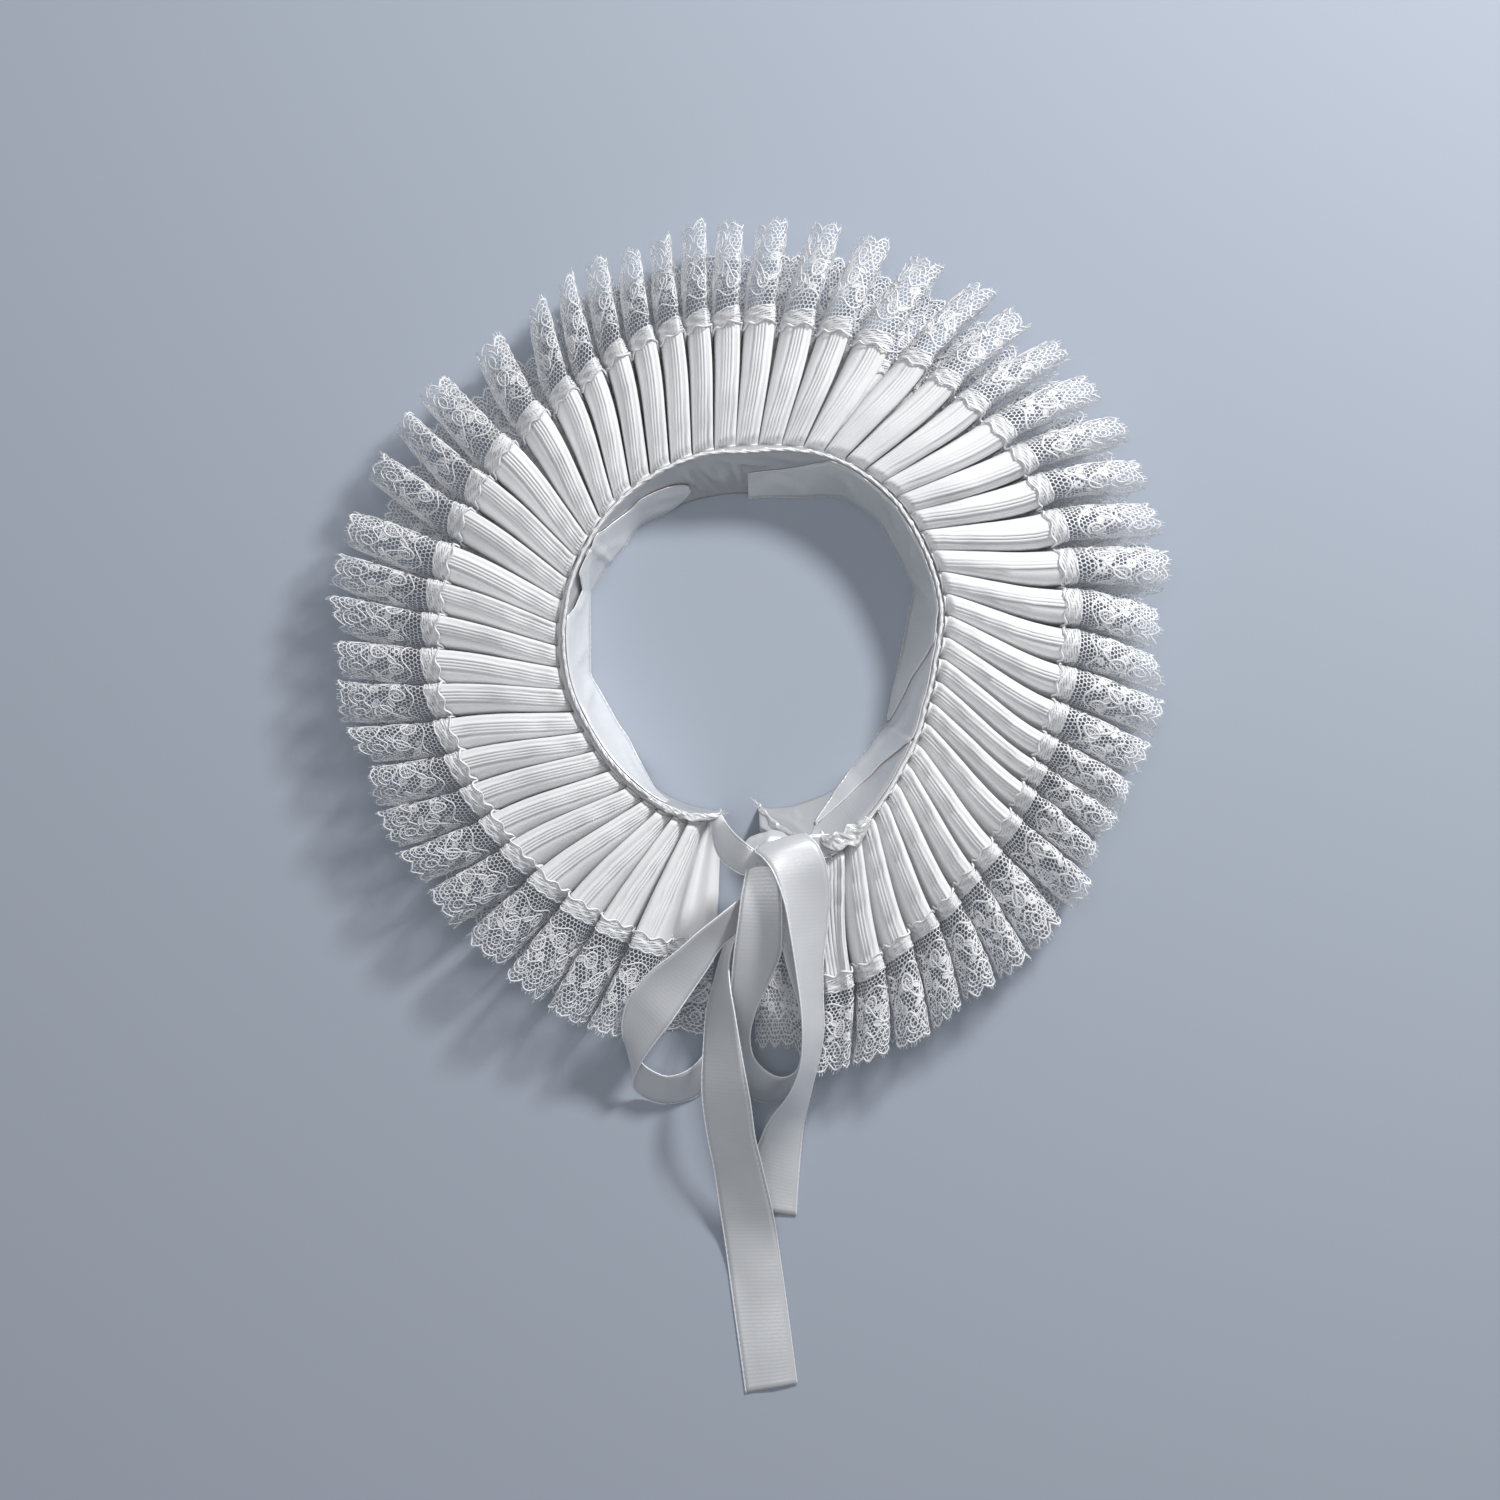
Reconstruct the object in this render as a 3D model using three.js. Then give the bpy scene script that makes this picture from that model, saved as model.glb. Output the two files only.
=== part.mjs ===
// A false collar: a deep pleated ruff of cloth on a satin neck band, edged
// with lace and tied at the front with satin ribbon. It lies flat, as it is
// laid out on a table. Millimetres, +Z up, the bow toward -Y; the middle of
// the neck is the centre that every angle and radius below is measured from.
// Angles run clockwise seen from above, and 0 degrees is the front (-Y).
import * as THREE from "three";

// ---- driving dimensions --------------------------------------------------
const CLOTH_WALL = 1.1;    // pleated cloth
const LACE_WALL = 1.0;
const BAND_WALL = 1.2;     // satin, doubled
const RIBBON_WALL = 1.0;
const SEAM_GAP = 0.4;      // between pieces sewn or lying together
const BAND_HEIGHT = 26.5;  // the highest edge of the neck band
const FOOT_HEIGHT = 26.5;  // crest of the pleats where they meet the band
const HEADING = 0.14;      // how far the lace laps back over the cloth, of its depth
const FLOOR_SHARE = 0.27;  // half of the open foot of a pleat, of its pitch

// ---- the pleats, one row each --------------------------------------------
// foot, edge, tip: where the crest runs, in degrees, at the neck band, at the
// end of the cloth and at the tip of the lace. cloth, reach: how far the cloth
// and the lace go from the middle of the neck. high: the crest. lean: +1 leans
// clockwise, -1 the other way.
const PLEATS = table("foot edge tip cloth reach high lean", [
  [17.0, 18.3, 20.4, 117.5, 149.0, 27, 0.6],
  [21.4, 25.0, 26.3, 117.0, 151.0, 28, 0.8],
  [26.0, 31.5, 33.0, 117.0, 149.0, 29, 0.8],
  [31.0, 39.2, 40.3, 117.0, 146.5, 30, 0.7],
  [36.4, 46.6, 49.0, 117.0, 148.0, 30, 0.8],
  [43.0, 53.5, 56.5, 116.5, 145.5, 30, 0.6],
  [51.0, 59.6, 62.5, 117.0, 147.0, 30, 0.8],
  [58.0, 65.9, 69.2, 117.0, 147.5, 31, 0.7],
  [64.3, 72.8, 75.2, 117.5, 143.0, 29, 0.5],
  [71.8, 79.0, 81.8, 118.5, 150.5, 30, 0.8],
  [78.5, 85.3, 87.8, 118.5, 148.0, 30, 0.6],
  [85.0, 92.0, 93.6, 118.5, 148.0, 31, 0.7],
  [91.5, 97.6, 100.0, 118.0, 153.5, 30, 0.8],
  [98.2, 103.9, 105.4, 118.0, 150.0, 30, 0.6],
  [105.5, 112.0, 115.0, 117.5, 151.5, 31, 0.7],
  [111.5, 118.7, 122.2, 117.5, 148.0, 30, 0.8],
  [118.8, 125.5, 128.0, 117.0, 149.0, 30, 0.7],
  [125.6, 134.5, 138.0, 116.0, 144.0, 31, 0.6],
  [131.6, 142.3, 147.5, 116.0, 142.0, 30, 0.7],
  [138.0, 148.6, 152.8, 116.0, 144.0, 29, 0.5],
  [144.5, 154.2, 157.5, 118.0, 148.0, 30, 0.6],
  [151.0, 159.5, 162.6, 119.0, 148.0, 30, 0.7],
  [158.0, 165.0, 167.0, 119.5, 147.0, 30, 0.6],
  [165.0, 169.8, 171.8, 120.0, 150.0, 31, 0.5],
  [171.2, 174.9, 177.0, 120.5, 152.5, 30, 0.6],
  [177.6, 180.6, 182.4, 121.0, 150.0, 30, 0.5],
  [184.2, 187.6, 190.2, 121.0, 152.5, 30, 0.5],
  [191.0, 194.5, 196.8, 121.0, 152.5, 31, 0.4],
  [196.6, 201.0, 204.3, 121.0, 151.0, 29, 0.4],
  [202.5, 209.6, 213.0, 121.0, 151.5, 31, 0.2],
  [209.0, 216.0, 218.8, 121.0, 152.5, 30, 0.2],
  [215.4, 222.2, 226.0, 121.0, 151.0, 30, 0.1],
  [221.0, 229.0, 232.8, 121.0, 154.0, 30, 0.0],
  [227.0, 235.8, 239.8, 121.0, 152.5, 31, 0.0],
  [233.0, 242.0, 246.6, 120.5, 153.5, 30, -0.1],
  [239.0, 249.3, 252.8, 120.0, 151.0, 30, -0.1],
  [245.5, 256.8, 260.3, 119.5, 153.5, 30, -0.2],
  [252.2, 264.2, 268.4, 118.5, 146.5, 30, -0.3],
  [258.4, 271.3, 274.3, 117.0, 144.5, 29, -0.4],
  [264.6, 278.2, 280.8, 116.0, 148.5, 30, -0.5],
  [271.2, 285.0, 287.0, 115.0, 147.5, 30, -0.6],
  [278.2, 290.9, 293.2, 114.5, 144.5, 30, -0.7],
  [285.0, 295.6, 297.6, 114.5, 145.5, 30, -0.7],
  [291.8, 300.6, 302.4, 115.0, 143.0, 31, -0.7],
  [298.2, 307.0, 307.2, 116.0, 150.5, 30, -0.8],
  [305.0, 313.4, 316.0, 116.5, 149.0, 30, -0.7],
  [311.5, 319.0, 321.2, 118.0, 150.0, 30, -0.8],
  [317.3, 324.2, 327.2, 120.5, 150.0, 30, -0.7],
  [322.8, 329.6, 332.6, 121.5, 149.0, 29, -0.8],
  [328.2, 335.4, 338.0, 124.0, 154.5, 28, -0.8],
  [333.4, 341.0, 344.6, 127.5, 154.5, 27, -0.8],
  [338.4, 346.0, 349.6, 129.0, 156.5, 25, -0.8],
]);

// The two flat ends of the strip, beyond the first and the last pleat.
const LEFT_END = table("foot edge tip high", [
  [10.2, 6.8, 6.6, 2.5],
  [13.0, 12.0, 12.0, 0],
]);
const RIGHT_END = table("foot edge tip high", [
  [347.0, 353.0, 354.5, 0],
  [355.5, 359.2, 359.6, 0],
]);

// ---- the neck band, one row each few degrees -----------------------------
// top: radius of its upper edge. low: radius of its lower edge, on the table.
// high: height of the upper edge, which runs down at the right end.
const BAND = table("at top low high", [
  [10.6, 62.0, 61.5, 24.5],
  [13, 62.8, 62.2, 26.0],
  [20, 65.0, 62.8, 26.5],
  [30, 65.6, 63.2, 26.5],
  [45, 65.4, 61.6, 26.5],
  [60, 65.3, 59.0, 26.5],
  [80, 66.7, 60.8, 26.5],
  [100, 67.4, 62.0, 26.5],
  [108, 67.8, 63.2, 26.5],
  [120, 68.2, 60.8, 26.5],
  [140, 69.0, 60.4, 26.5],
  [150, 69.2, 58.0, 26.5],
  [165, 69.4, 56.6, 26.5],
  [180, 69.6, 55.6, 26.5],
  [190, 70.4, 56.6, 26.5],
  [200, 71.8, 58.6, 26.5],
  [211, 72.2, 64.0, 26.5],
  [225, 71.8, 65.4, 26.5],
  [240, 70.0, 63.8, 26.5],
  [250, 69.2, 64.2, 26.5],
  [260, 68.4, 60.4, 26.5],
  [275, 65.4, 57.4, 26.5],
  [290, 65.4, 57.4, 26.5],
  [300, 67.4, 57.8, 26.5],
  [310, 69.2, 58.6, 26.5],
  [320, 72.6, 60.4, 26.5],
  [330, 76.2, 60.4, 26.5],
  [335, 78.8, 60.4, 26.5],
  [340, 81.0, 60.4, 26.5],
  [346, 72.0, 60.8, 17.0],
  [352, 65.6, 61.0, 9.5],
  [358, 61.8, 61.2, 5.0],
]);

// The ribbon round the inside of the band: its lower and upper edge heights.
const NECK_RIBBON = table("at low high", [
  [32, 17, 25],
  [38, 8, 25.5],
  [46, 3, 21],
  [60, 0, 18.5],
  [270, 0, 18.5],
  [296, 2, 20],
  [312, 6, 23],
  [326, 10, 25],
  [337, 14, 25.5],
]);

// ---- the ribbon of the bow, one row each station -------------------------
// x, y, z of the left and the right edge, going away from the knot.
const EDGES = "lx ly lz rx ry rz";
const TAIL_LONG = table(EDGES, [
  [-0.8, -79.9, 25.5, 5.0, -79.9, 26.5],
  [-4.6, -92.0, 20.0, 0.8, -93.0, 24.0],
  [-8.2, -105.0, 13.0, -5.0, -106.0, 21.0],
  [-11.4, -116.0, 12.5, -6.2, -115.0, 26.0],
  [-13.5, -125.0, 13.0, -6.8, -125.0, 28.5],
  [-16.3, -133.0, 14.5, -6.8, -134.0, 29.0],
  [-17.6, -146.0, 18.0, -5.4, -146.0, 31.0],
  [-17.6, -155.5, 19.5, -3.9, -155.5, 31.0],
  [-17.2, -164.0, 19.0, -1.4, -164.0, 28.5],
  [-15.9, -177.0, 15.5, 0.7, -176.5, 22.5],
  [-14.0, -187.5, 12.0, 3.3, -187.0, 17.5],
  [-12.0, -203.0, 6.5, 6.8, -203.0, 8.5],
  [-9.9, -217.0, 2.0, 9.2, -217.0, 2.5],
  [-7.3, -236.5, 0.5, 12.0, -236.0, 0.5],
  [-4.0, -260.0, 0.5, 15.0, -258.5, 0.5],
  [-2.2, -273.5, 0.5, 16.5, -270.0, 0.5],
]);
const TAIL_SHORT = table(EDGES, [
  [1.8, -71.8, 35.6, 19.8, -69.5, 35.2],
  [2.2, -75.5, 37.0, 23.3, -73.5, 35.8],
  [7.8, -82.5, 39.5, 26.6, -83.0, 33.5],
  [12.0, -95.0, 40.5, 27.8, -94.0, 30.0],
  [13.6, -107.0, 40.0, 26.6, -106.0, 28.0],
  [15.5, -122.5, 39.5, 24.9, -121.0, 27.0],
  [17.6, -136.0, 38.0, 25.6, -135.0, 24.5],
  [16.6, -149.0, 34.0, 23.8, -147.5, 22.0],
  [12.0, -162.0, 26.0, 21.2, -160.5, 13.0],
  [6.1, -172.5, 15.5, 18.2, -175.5, 3.5],
  [2.5, -180.5, 9.5, 17.6, -185.0, 1.2],
  [-0.7, -191.0, 3.5, 16.8, -196.5, 0.6],
  [-2.2, -206.0, 0.5, 16.1, -208.5, 0.5],
]);
const LOOP_LEFT = table(EDGES, [
  [-3.6, -81.0, 31.0, -1.6, -84.0, 27.0],
  [-7.0, -91.5, 33.0, -5.0, -98.5, 20.5],
  [-11.0, -96.0, 34.0, -8.0, -104.5, 19.5],
  [-26.6, -109.0, 33.0, -16.2, -116.5, 20.5],
  [-38.8, -120.5, 31.0, -24.7, -130.5, 22.0],
  [-44.6, -131.5, 27.0, -30.2, -139.0, 20.0],
  [-46.2, -140.0, 22.0, -34.9, -144.5, 19.0],
  [-44.7, -146.5, 17.0, -39.6, -152.0, 17.0],
  [-41.2, -149.5, 14.0, -43.0, -158.0, 13.0],
  [-37.6, -152.5, 13.0, -40.7, -163.5, 7.0],
  [-34.0, -155.0, 13.0, -36.5, -165.5, 2.5],
  [-30.0, -156.5, 13.0, -31.4, -167.5, 0.8],
  [-24.6, -155.5, 13.0, -24.9, -166.5, 0.8],
  [-18.8, -151.0, 12.0, -17.2, -162.0, 0.8],
  [-14.1, -142.0, 10.0, -10.2, -153.5, 0.8],
  [-10.9, -129.0, 8.0, -4.7, -137.5, 0.8],
  [-8.3, -115.0, 8.0, -2.4, -120.0, 2.0],
  [-5.4, -101.5, 9.0, -0.4, -104.5, 6.0],
  [-2.4, -89.5, 13.0, 3.0, -90.5, 11.0],
]);
const LOOP_RIGHT = table(EDGES, [
  [0.2, -79.9, 31.0, 8.6, -79.6, 32.0],
  [-2.4, -91.5, 29.5, 8.5, -94.5, 31.5],
  [-3.6, -104.0, 27.5, 8.8, -108.5, 29.5],
  [-3.4, -116.5, 23.0, 5.7, -119.5, 25.0],
  [-5.2, -130.0, 15.5, 2.2, -130.0, 19.0],
  [-6.6, -145.0, 9.0, -0.7, -143.0, 18.0],
  [-5.8, -157.5, 2.5, 0.4, -150.0, 17.0],
  [-1.1, -164.5, 0.8, 4.0, -153.5, 16.5],
  [6.6, -167.0, 0.8, 9.7, -156.0, 16.5],
  [13.9, -164.0, 0.8, 16.0, -154.0, 16.5],
  [19.6, -155.5, 4.0, 16.6, -144.5, 17.0],
  [20.6, -143.0, 9.0, 14.6, -137.0, 19.5],
  [20.4, -128.5, 13.0, 13.0, -125.0, 22.0],
  [19.4, -112.0, 18.0, 10.7, -109.5, 24.0],
  [16.8, -97.0, 22.0, 8.4, -96.0, 26.0],
  [13.6, -86.5, 24.0, 6.2, -86.5, 27.0],
]);
const TIE_LEFT = table(EDGES, [
  [-11.4, -62.9, 22.5, -14.8, -65.2, 21.5],
  [-8.6, -67.0, 25.0, -13.3, -72.5, 21.0],
  [-6.6, -70.0, 27.0, -10.0, -78.5, 22.5],
  [-5.2, -74.0, 29.0, -4.6, -82.0, 24.0],
]);
const TIE_RIGHT = table(EDGES, [
  [29.6, -71.5, 27.8, 27.4, -77.0, 27.6],
  [24.6, -71.0, 29.5, 22.6, -77.5, 27.8],
  [20.0, -71.5, 31.0, 18.6, -77.5, 28.0],
  [14.4, -71.8, 31.5, 14.2, -76.5, 28.5],
]);

const KNOT = { at: [5, -74, 28.5], half: [9.0, 5.8, 6.5] };

// ---- helpers -------------------------------------------------------------
const rad = THREE.MathUtils.degToRad;
const mix = (a, b, t) => a + (b - a) * t;

function table(names, rows) {
  const keys = names.split(" ");
  return rows.map((row) => Object.fromEntries(keys.map((k, i) => [k, row[i]])));
}

// A value read off a table between two of its rows.
function between(rows, key, value, at) {
  const last = rows.length - 1;
  if (at <= rows[0][key]) return rows[0][value];
  for (let i = 0; i < last; i++) {
    const a = rows[i];
    const b = rows[i + 1];
    if (at <= b[key]) return mix(a[value], b[value], (at - a[key]) / (b[key] - a[key]));
  }
  return rows[last][value];
}

const place = (degrees, radius, z) =>
  [-radius * Math.sin(rad(degrees)), -radius * Math.cos(rad(degrees)), z];

// Offsets a line of points sideways by d, keeping its thickness at corners.
function offsetLine(points, d) {
  const normal = (a, b) => {
    const dx = b[0] - a[0];
    const dz = b[1] - a[1];
    const n = Math.hypot(dx, dz) || 1;
    return [-dz / n, dx / n];
  };
  return points.map((p, i) => {
    const n1 = i > 0 ? normal(points[i - 1], p) : null;
    const n2 = i < points.length - 1 ? normal(p, points[i + 1]) : null;
    const a = n1 ?? n2;
    const b = n2 ?? n1;
    const dot = a[0] * b[0] + a[1] * b[1];
    const k = d / Math.max(1 + dot, 0.45);
    return [p[0] + (a[0] + b[0]) * k, p[1] + (a[1] + b[1]) * k];
  });
}

// One closed sheet between two grids of points, `over` above `under`; both are
// lists of rows, and a row is a list of [x, y, z].
function sheet(over, under) {
  const rows = over.length;
  const cols = over[0].length;
  const points = [...over.flat(), ...under.flat()];
  const top = (i, j) => i * cols + j;
  const low = (i, j) => rows * cols + i * cols + j;
  const faces = [];
  const quad = (a, b, c, d) => faces.push(a, b, c, a, c, d);
  for (let i = 0; i < rows - 1; i++)
    for (let j = 0; j < cols - 1; j++) {
      quad(top(i, j), top(i + 1, j), top(i + 1, j + 1), top(i, j + 1));
      quad(low(i, j), low(i, j + 1), low(i + 1, j + 1), low(i + 1, j));
    }
  for (let j = 0; j < cols - 1; j++) {
    quad(top(0, j), top(0, j + 1), low(0, j + 1), low(0, j));
    quad(top(rows - 1, j), low(rows - 1, j), low(rows - 1, j + 1), top(rows - 1, j + 1));
  }
  for (let i = 0; i < rows - 1; i++) {
    quad(top(i, 0), low(i, 0), low(i + 1, 0), top(i + 1, 0));
    quad(top(i, cols - 1), top(i + 1, cols - 1), low(i + 1, cols - 1), low(i, cols - 1));
  }
  const geometry = new THREE.BufferGeometry();
  geometry.setAttribute("position", new THREE.Float32BufferAttribute(points.flat(), 3));
  geometry.setIndex(faces);
  // faces out, whichever way the rows run
  let volume = 0;
  const v = (k) => new THREE.Vector3(...points[k]);
  for (let k = 0; k < faces.length; k += 3)
    volume += v(faces[k]).dot(v(faces[k + 1]).cross(v(faces[k + 2])));
  if (volume < 0)
    for (let k = 0; k < faces.length; k += 3)
      [faces[k], faces[k + 1]] = [faces[k + 1], faces[k]];
  geometry.setIndex(faces);
  return geometry;
}

// ---- the pleated strip ---------------------------------------------------
// Its section at one station, s: 0 at the neck band, 1 at the end of the cloth,
// 2 at the tip of the lace. Angles swirl mostly in the inner half.
const swirl = (s) => (s < 0.4 ? s * 1.55 : mix(0.62, 1, (s - 0.4) / 0.6));
const runOf = (row, s) =>
  s <= 1 ? mix(row.foot, row.edge, swirl(s)) : mix(row.edge, row.tip, s - 1);

const bandAt = (degrees, z) => {
  const high = between(BAND, "at", "high", degrees);
  return mix(between(BAND, "at", "low", degrees), between(BAND, "at", "top", degrees),
    Math.min(z / high, 1));
};

// How much nearer to the neck the floor of the pleats ends than their crests.
const tuck = (degrees) => 3.5 + 3.5 * Math.cos(rad(degrees - 150));

function clothRadius(degrees, s, z) {
  const up = 1 - Math.min(z / 30, 1);
  const rows = PLEATS.map((p) => ({ at: p.edge, cloth: p.cloth, reach: p.reach }));
  const end = between(rows, "at", "cloth", degrees) - tuck(degrees) * up;
  if (s > 1) {
    const tip = between(rows, "at", "reach", degrees) - (1 + tuck(degrees) * 1.2) * up;
    return mix(end, tip, s - 1);
  }
  return mix(bandAt(degrees, z) + BAND_WALL / 2 + SEAM_GAP + 0.6, end, s);
}

// Gap kept between neighbouring crests, as least millimetres and share of pitch.
const crestGap = (s, pitch) =>
  s < 0.2 ? Math.max(1.9, 0.3 * pitch)
    : s < 0.6 ? Math.max(2.4, 0.26 * pitch)
      : Math.max(4.7, 0.26 * pitch);

function stripSection(s) {
  const scale = rad(1) * (s < 1 ? mix(67, 118, s) : mix(118, 148, s - 1)); // mm a degree
  const run = PLEATS.map((p) => runOf(p, s) * scale);
  const floor = CLOTH_WALL / 2;
  const line = [];
  const end = (row) => line.push([runOf(row, s) * scale, floor + row.high]);
  LEFT_END.forEach(end);
  PLEATS.forEach((p, i) => {
    const before = i > 0 ? run[i] - run[i - 1] : run[1] - run[0];
    const after = i < run.length - 1 ? run[i + 1] - run[i] : before;
    const hl = (before - crestGap(s, before)) / 2;
    const hr = (after - crestGap(s, after)) / 2;
    const cw = Math.max(p.lean, 0);
    const ccw = Math.max(-p.lean, 0);
    const crest = s < 0.4 ? mix(FOOT_HEIGHT - 1, p.high, s / 0.4)
      : s > 1 ? mix(p.high, p.high - 1.5, s - 1) : p.high;
    const rise = (share) => mix(floor, crest, share);
    const at = run[i];
    line.push(
      [at - before * FLOOR_SHARE, floor],
      [at - hl, rise(0.8 - 0.38 * cw)],
      [at - hl * (0.5 + 0.22 * ccw - 0.5 * cw), rise(1 - 0.14 * cw)],
      [at + hr * (0.5 + 0.22 * cw - 0.5 * ccw), rise(1 - 0.14 * ccw)],
      [at + hr, rise(0.8 - 0.38 * ccw)],
      [at + after * FLOOR_SHARE, floor],
    );
  });
  RIGHT_END.forEach(end);
  return { line, scale };
}

// The strip at one station, moved out from its middle by d.
function strip(s, d) {
  const { line, scale } = stripSection(s);
  const moved = offsetLine(line, d);
  return line.map(([along, z], i) => {
    const degrees = along / scale;
    const radius = clothRadius(degrees, s, z);
    const turn = (moved[i][0] - along) / (rad(1) * radius);
    const lift = moved[i][1];
    return place(degrees + turn, clothRadius(degrees + turn, s, lift), lift);
  });
}

function ruffle() {
  const stations = [0, 0.42, 1 - HEADING, 1];
  return sheet(
    stations.map((s) => strip(s, CLOTH_WALL / 2)),
    stations.map((s) => strip(s, -CLOTH_WALL / 2)),
  );
}

// The lace laps over the end of the cloth and goes on beyond it.
function lace() {
  const stations = [1 - HEADING, 1, 2];
  const inner = CLOTH_WALL / 2 + SEAM_GAP + 0.1;
  return sheet(
    stations.map((s) => strip(s, inner + LACE_WALL)),
    stations.map((s) => strip(s, inner)),
  );
}

// ---- neck ----------------------------------------------------------------
function bandStations() {
  const out = BAND.map((row) => row.at);
  for (let at = BAND[0].at + 6; at < 355; at += 6) out.push(at);
  return [...new Set(out)].sort((a, b) => a - b)
    .filter((at, i, all) => i === 0 || at - all[i - 1] > 1.5);
}

// A wall standing along the band, moved in from its middle by `inward`.
function neckWall(stations, lowOf, highOf, inward, wall) {
  const side = (d) => [lowOf, highOf].map((height) =>
    stations.map((at) => {
      const z = height(at);
      return place(at, bandAt(at, z) - inward + d, z);
    }));
  return sheet(side(wall / 2), side(-wall / 2));
}

const neckBand = () => neckWall(bandStations(), () => 0,
  (at) => between(BAND, "at", "high", at), 0, BAND_WALL);

const neckRibbon = () => neckWall(
  bandStations().filter((at) => at >= 32 && at <= 337),
  (at) => between(NECK_RIBBON, "at", "low", at),
  (at) => between(NECK_RIBBON, "at", "high", at),
  BAND_WALL / 2 + SEAM_GAP + 0.55 + RIBBON_WALL / 2, RIBBON_WALL);

// ---- ribbon --------------------------------------------------------------
function ribbon(rows, stations) {
  const curve = (x, y, z) =>
    new THREE.CatmullRomCurve3(rows.map((r) => new THREE.Vector3(r[x], r[y], r[z])),
      false, "centripetal");
  const left = rows.map((r) => new THREE.Vector3(r.lx, r.ly, r.lz));
  const right = rows.map((r) => new THREE.Vector3(r.rx, r.ry, r.rz));
  const curves = [curve("lx", "ly", "lz"), curve("rx", "ry", "rz")];
  const lines = curves.map((c) => Array.from({ length: stations + 1 },
    (_, i) => c.getPoint(i / stations)));
  const over = [];
  const under = [];
  for (let i = 0; i <= stations; i++) {
    const a = Math.max(i - 1, 0);
    const b = Math.min(i + 1, stations);
    const across = lines[1][i].clone().sub(lines[0][i]);
    const rowsOver = [];
    const rowsUnder = [];
    lines.forEach((line) => {
      const along = line[b].clone().sub(line[a]);
      const out = across.clone().cross(along).normalize();
      for (const [list, d] of [[rowsOver, RIBBON_WALL / 2], [rowsUnder, -RIBBON_WALL / 2]]) {
        const p = line[i].clone().addScaledVector(out, d);
        list.push([p.x, p.y, Math.max(p.z, 0)]);
      }
    });
    over.push(rowsOver);
    under.push(rowsUnder);
  }
  return sheet(over, under);
}

function knot() {
  const geometry = new THREE.SphereGeometry(1, 16, 10);
  geometry.scale(...KNOT.half);
  geometry.translate(...KNOT.at);
  return geometry;
}

// ---- the collar ----------------------------------------------------------
const NODES = [
  ["ruffle", ruffle, "cloth"],
  ["lace_edging", lace, "lace"],
  ["neck_band", neckBand, "satin"],
  ["neck_ribbon", neckRibbon, "ribbon"],
  ["tie_left", () => ribbon(TIE_LEFT, 8), "ribbon"],
  ["tie_right", () => ribbon(TIE_RIGHT, 6), "ribbon"],
  ["bow_knot", knot, "ribbon"],
  ["loop_left", () => ribbon(LOOP_LEFT, 36), "ribbon"],
  ["loop_right", () => ribbon(LOOP_RIGHT, 32), "ribbon"],
  ["tail_long", () => ribbon(TAIL_LONG, 30), "ribbon"],
  ["tail_short", () => ribbon(TAIL_SHORT, 26), "ribbon"],
];
const COLORS = { cloth: 0xf4f5f7, lace: 0xf7f7f8, satin: 0xe9ebef, ribbon: 0xeceef2 };

const group = new THREE.Group();
group.name = "false_collar";
for (const [name, make, kind] of NODES) {
  const mesh = new THREE.Mesh(make(), new THREE.MeshStandardMaterial({
    color: COLORS[kind], roughness: kind === "ribbon" ? 0.4 : 0.8,
  }));
  mesh.name = name;
  group.add(mesh);
}

// The origin is the middle of the footprint, on the table.
const box = new THREE.Box3().setFromObject(group);
const middle = box.getCenter(new THREE.Vector3());
for (const mesh of group.children) mesh.geometry.translate(-middle.x, -middle.y, -box.min.z);

export default group;
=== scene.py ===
"""A false collar: a pleated ruff on a satin neck band, edged with lace and
tied with a ribbon bow, laid flat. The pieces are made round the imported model,
in metres; sizes in the tables below are in millimetres."""

import math

import bpy
import numpy as np
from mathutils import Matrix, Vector


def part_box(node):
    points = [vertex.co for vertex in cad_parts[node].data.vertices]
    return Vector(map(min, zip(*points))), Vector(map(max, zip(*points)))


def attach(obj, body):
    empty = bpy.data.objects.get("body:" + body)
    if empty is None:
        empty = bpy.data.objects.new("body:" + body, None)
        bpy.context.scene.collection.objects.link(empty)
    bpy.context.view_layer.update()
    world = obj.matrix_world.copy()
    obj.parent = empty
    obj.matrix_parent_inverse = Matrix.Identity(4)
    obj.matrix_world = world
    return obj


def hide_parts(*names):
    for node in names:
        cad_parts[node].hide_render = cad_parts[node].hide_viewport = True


bl_info = {
    "name": "False Collar",
    "version": (1, 0, 0),
    "blender": (4, 5, 0),
    "location": "View3D > Sidebar > False Collar",
    "description": "A pleated ruff with lace and a ribbon bow, laid flat",
    "category": "Add Mesh",
}

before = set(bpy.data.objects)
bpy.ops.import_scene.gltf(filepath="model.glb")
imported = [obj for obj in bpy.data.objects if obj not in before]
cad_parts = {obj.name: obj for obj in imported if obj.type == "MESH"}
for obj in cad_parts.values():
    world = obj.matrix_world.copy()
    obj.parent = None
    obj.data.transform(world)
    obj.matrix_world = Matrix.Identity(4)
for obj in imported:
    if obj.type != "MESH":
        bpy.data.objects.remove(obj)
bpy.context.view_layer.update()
MM = 0.001

# The middle of the neck, which every angle and radius is measured from. The
# knot's own middle lies 5 mm right of it and 74 mm in front of it.
KNOT_AT = (5.0, -74.0, 28.5)
_low, _high = (np.array(corner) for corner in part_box("bow_knot"))
NECK = (_low + _high) / 2 / MM - np.array(KNOT_AT)
NECK[2] = 0.0


# ---- measures of the collar ----------------------------------------------
def table(names, rows):
    """Rows of numbers as named columns, each a numpy array."""
    return dict(zip(names.split(), np.array(rows, float).T))


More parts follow.
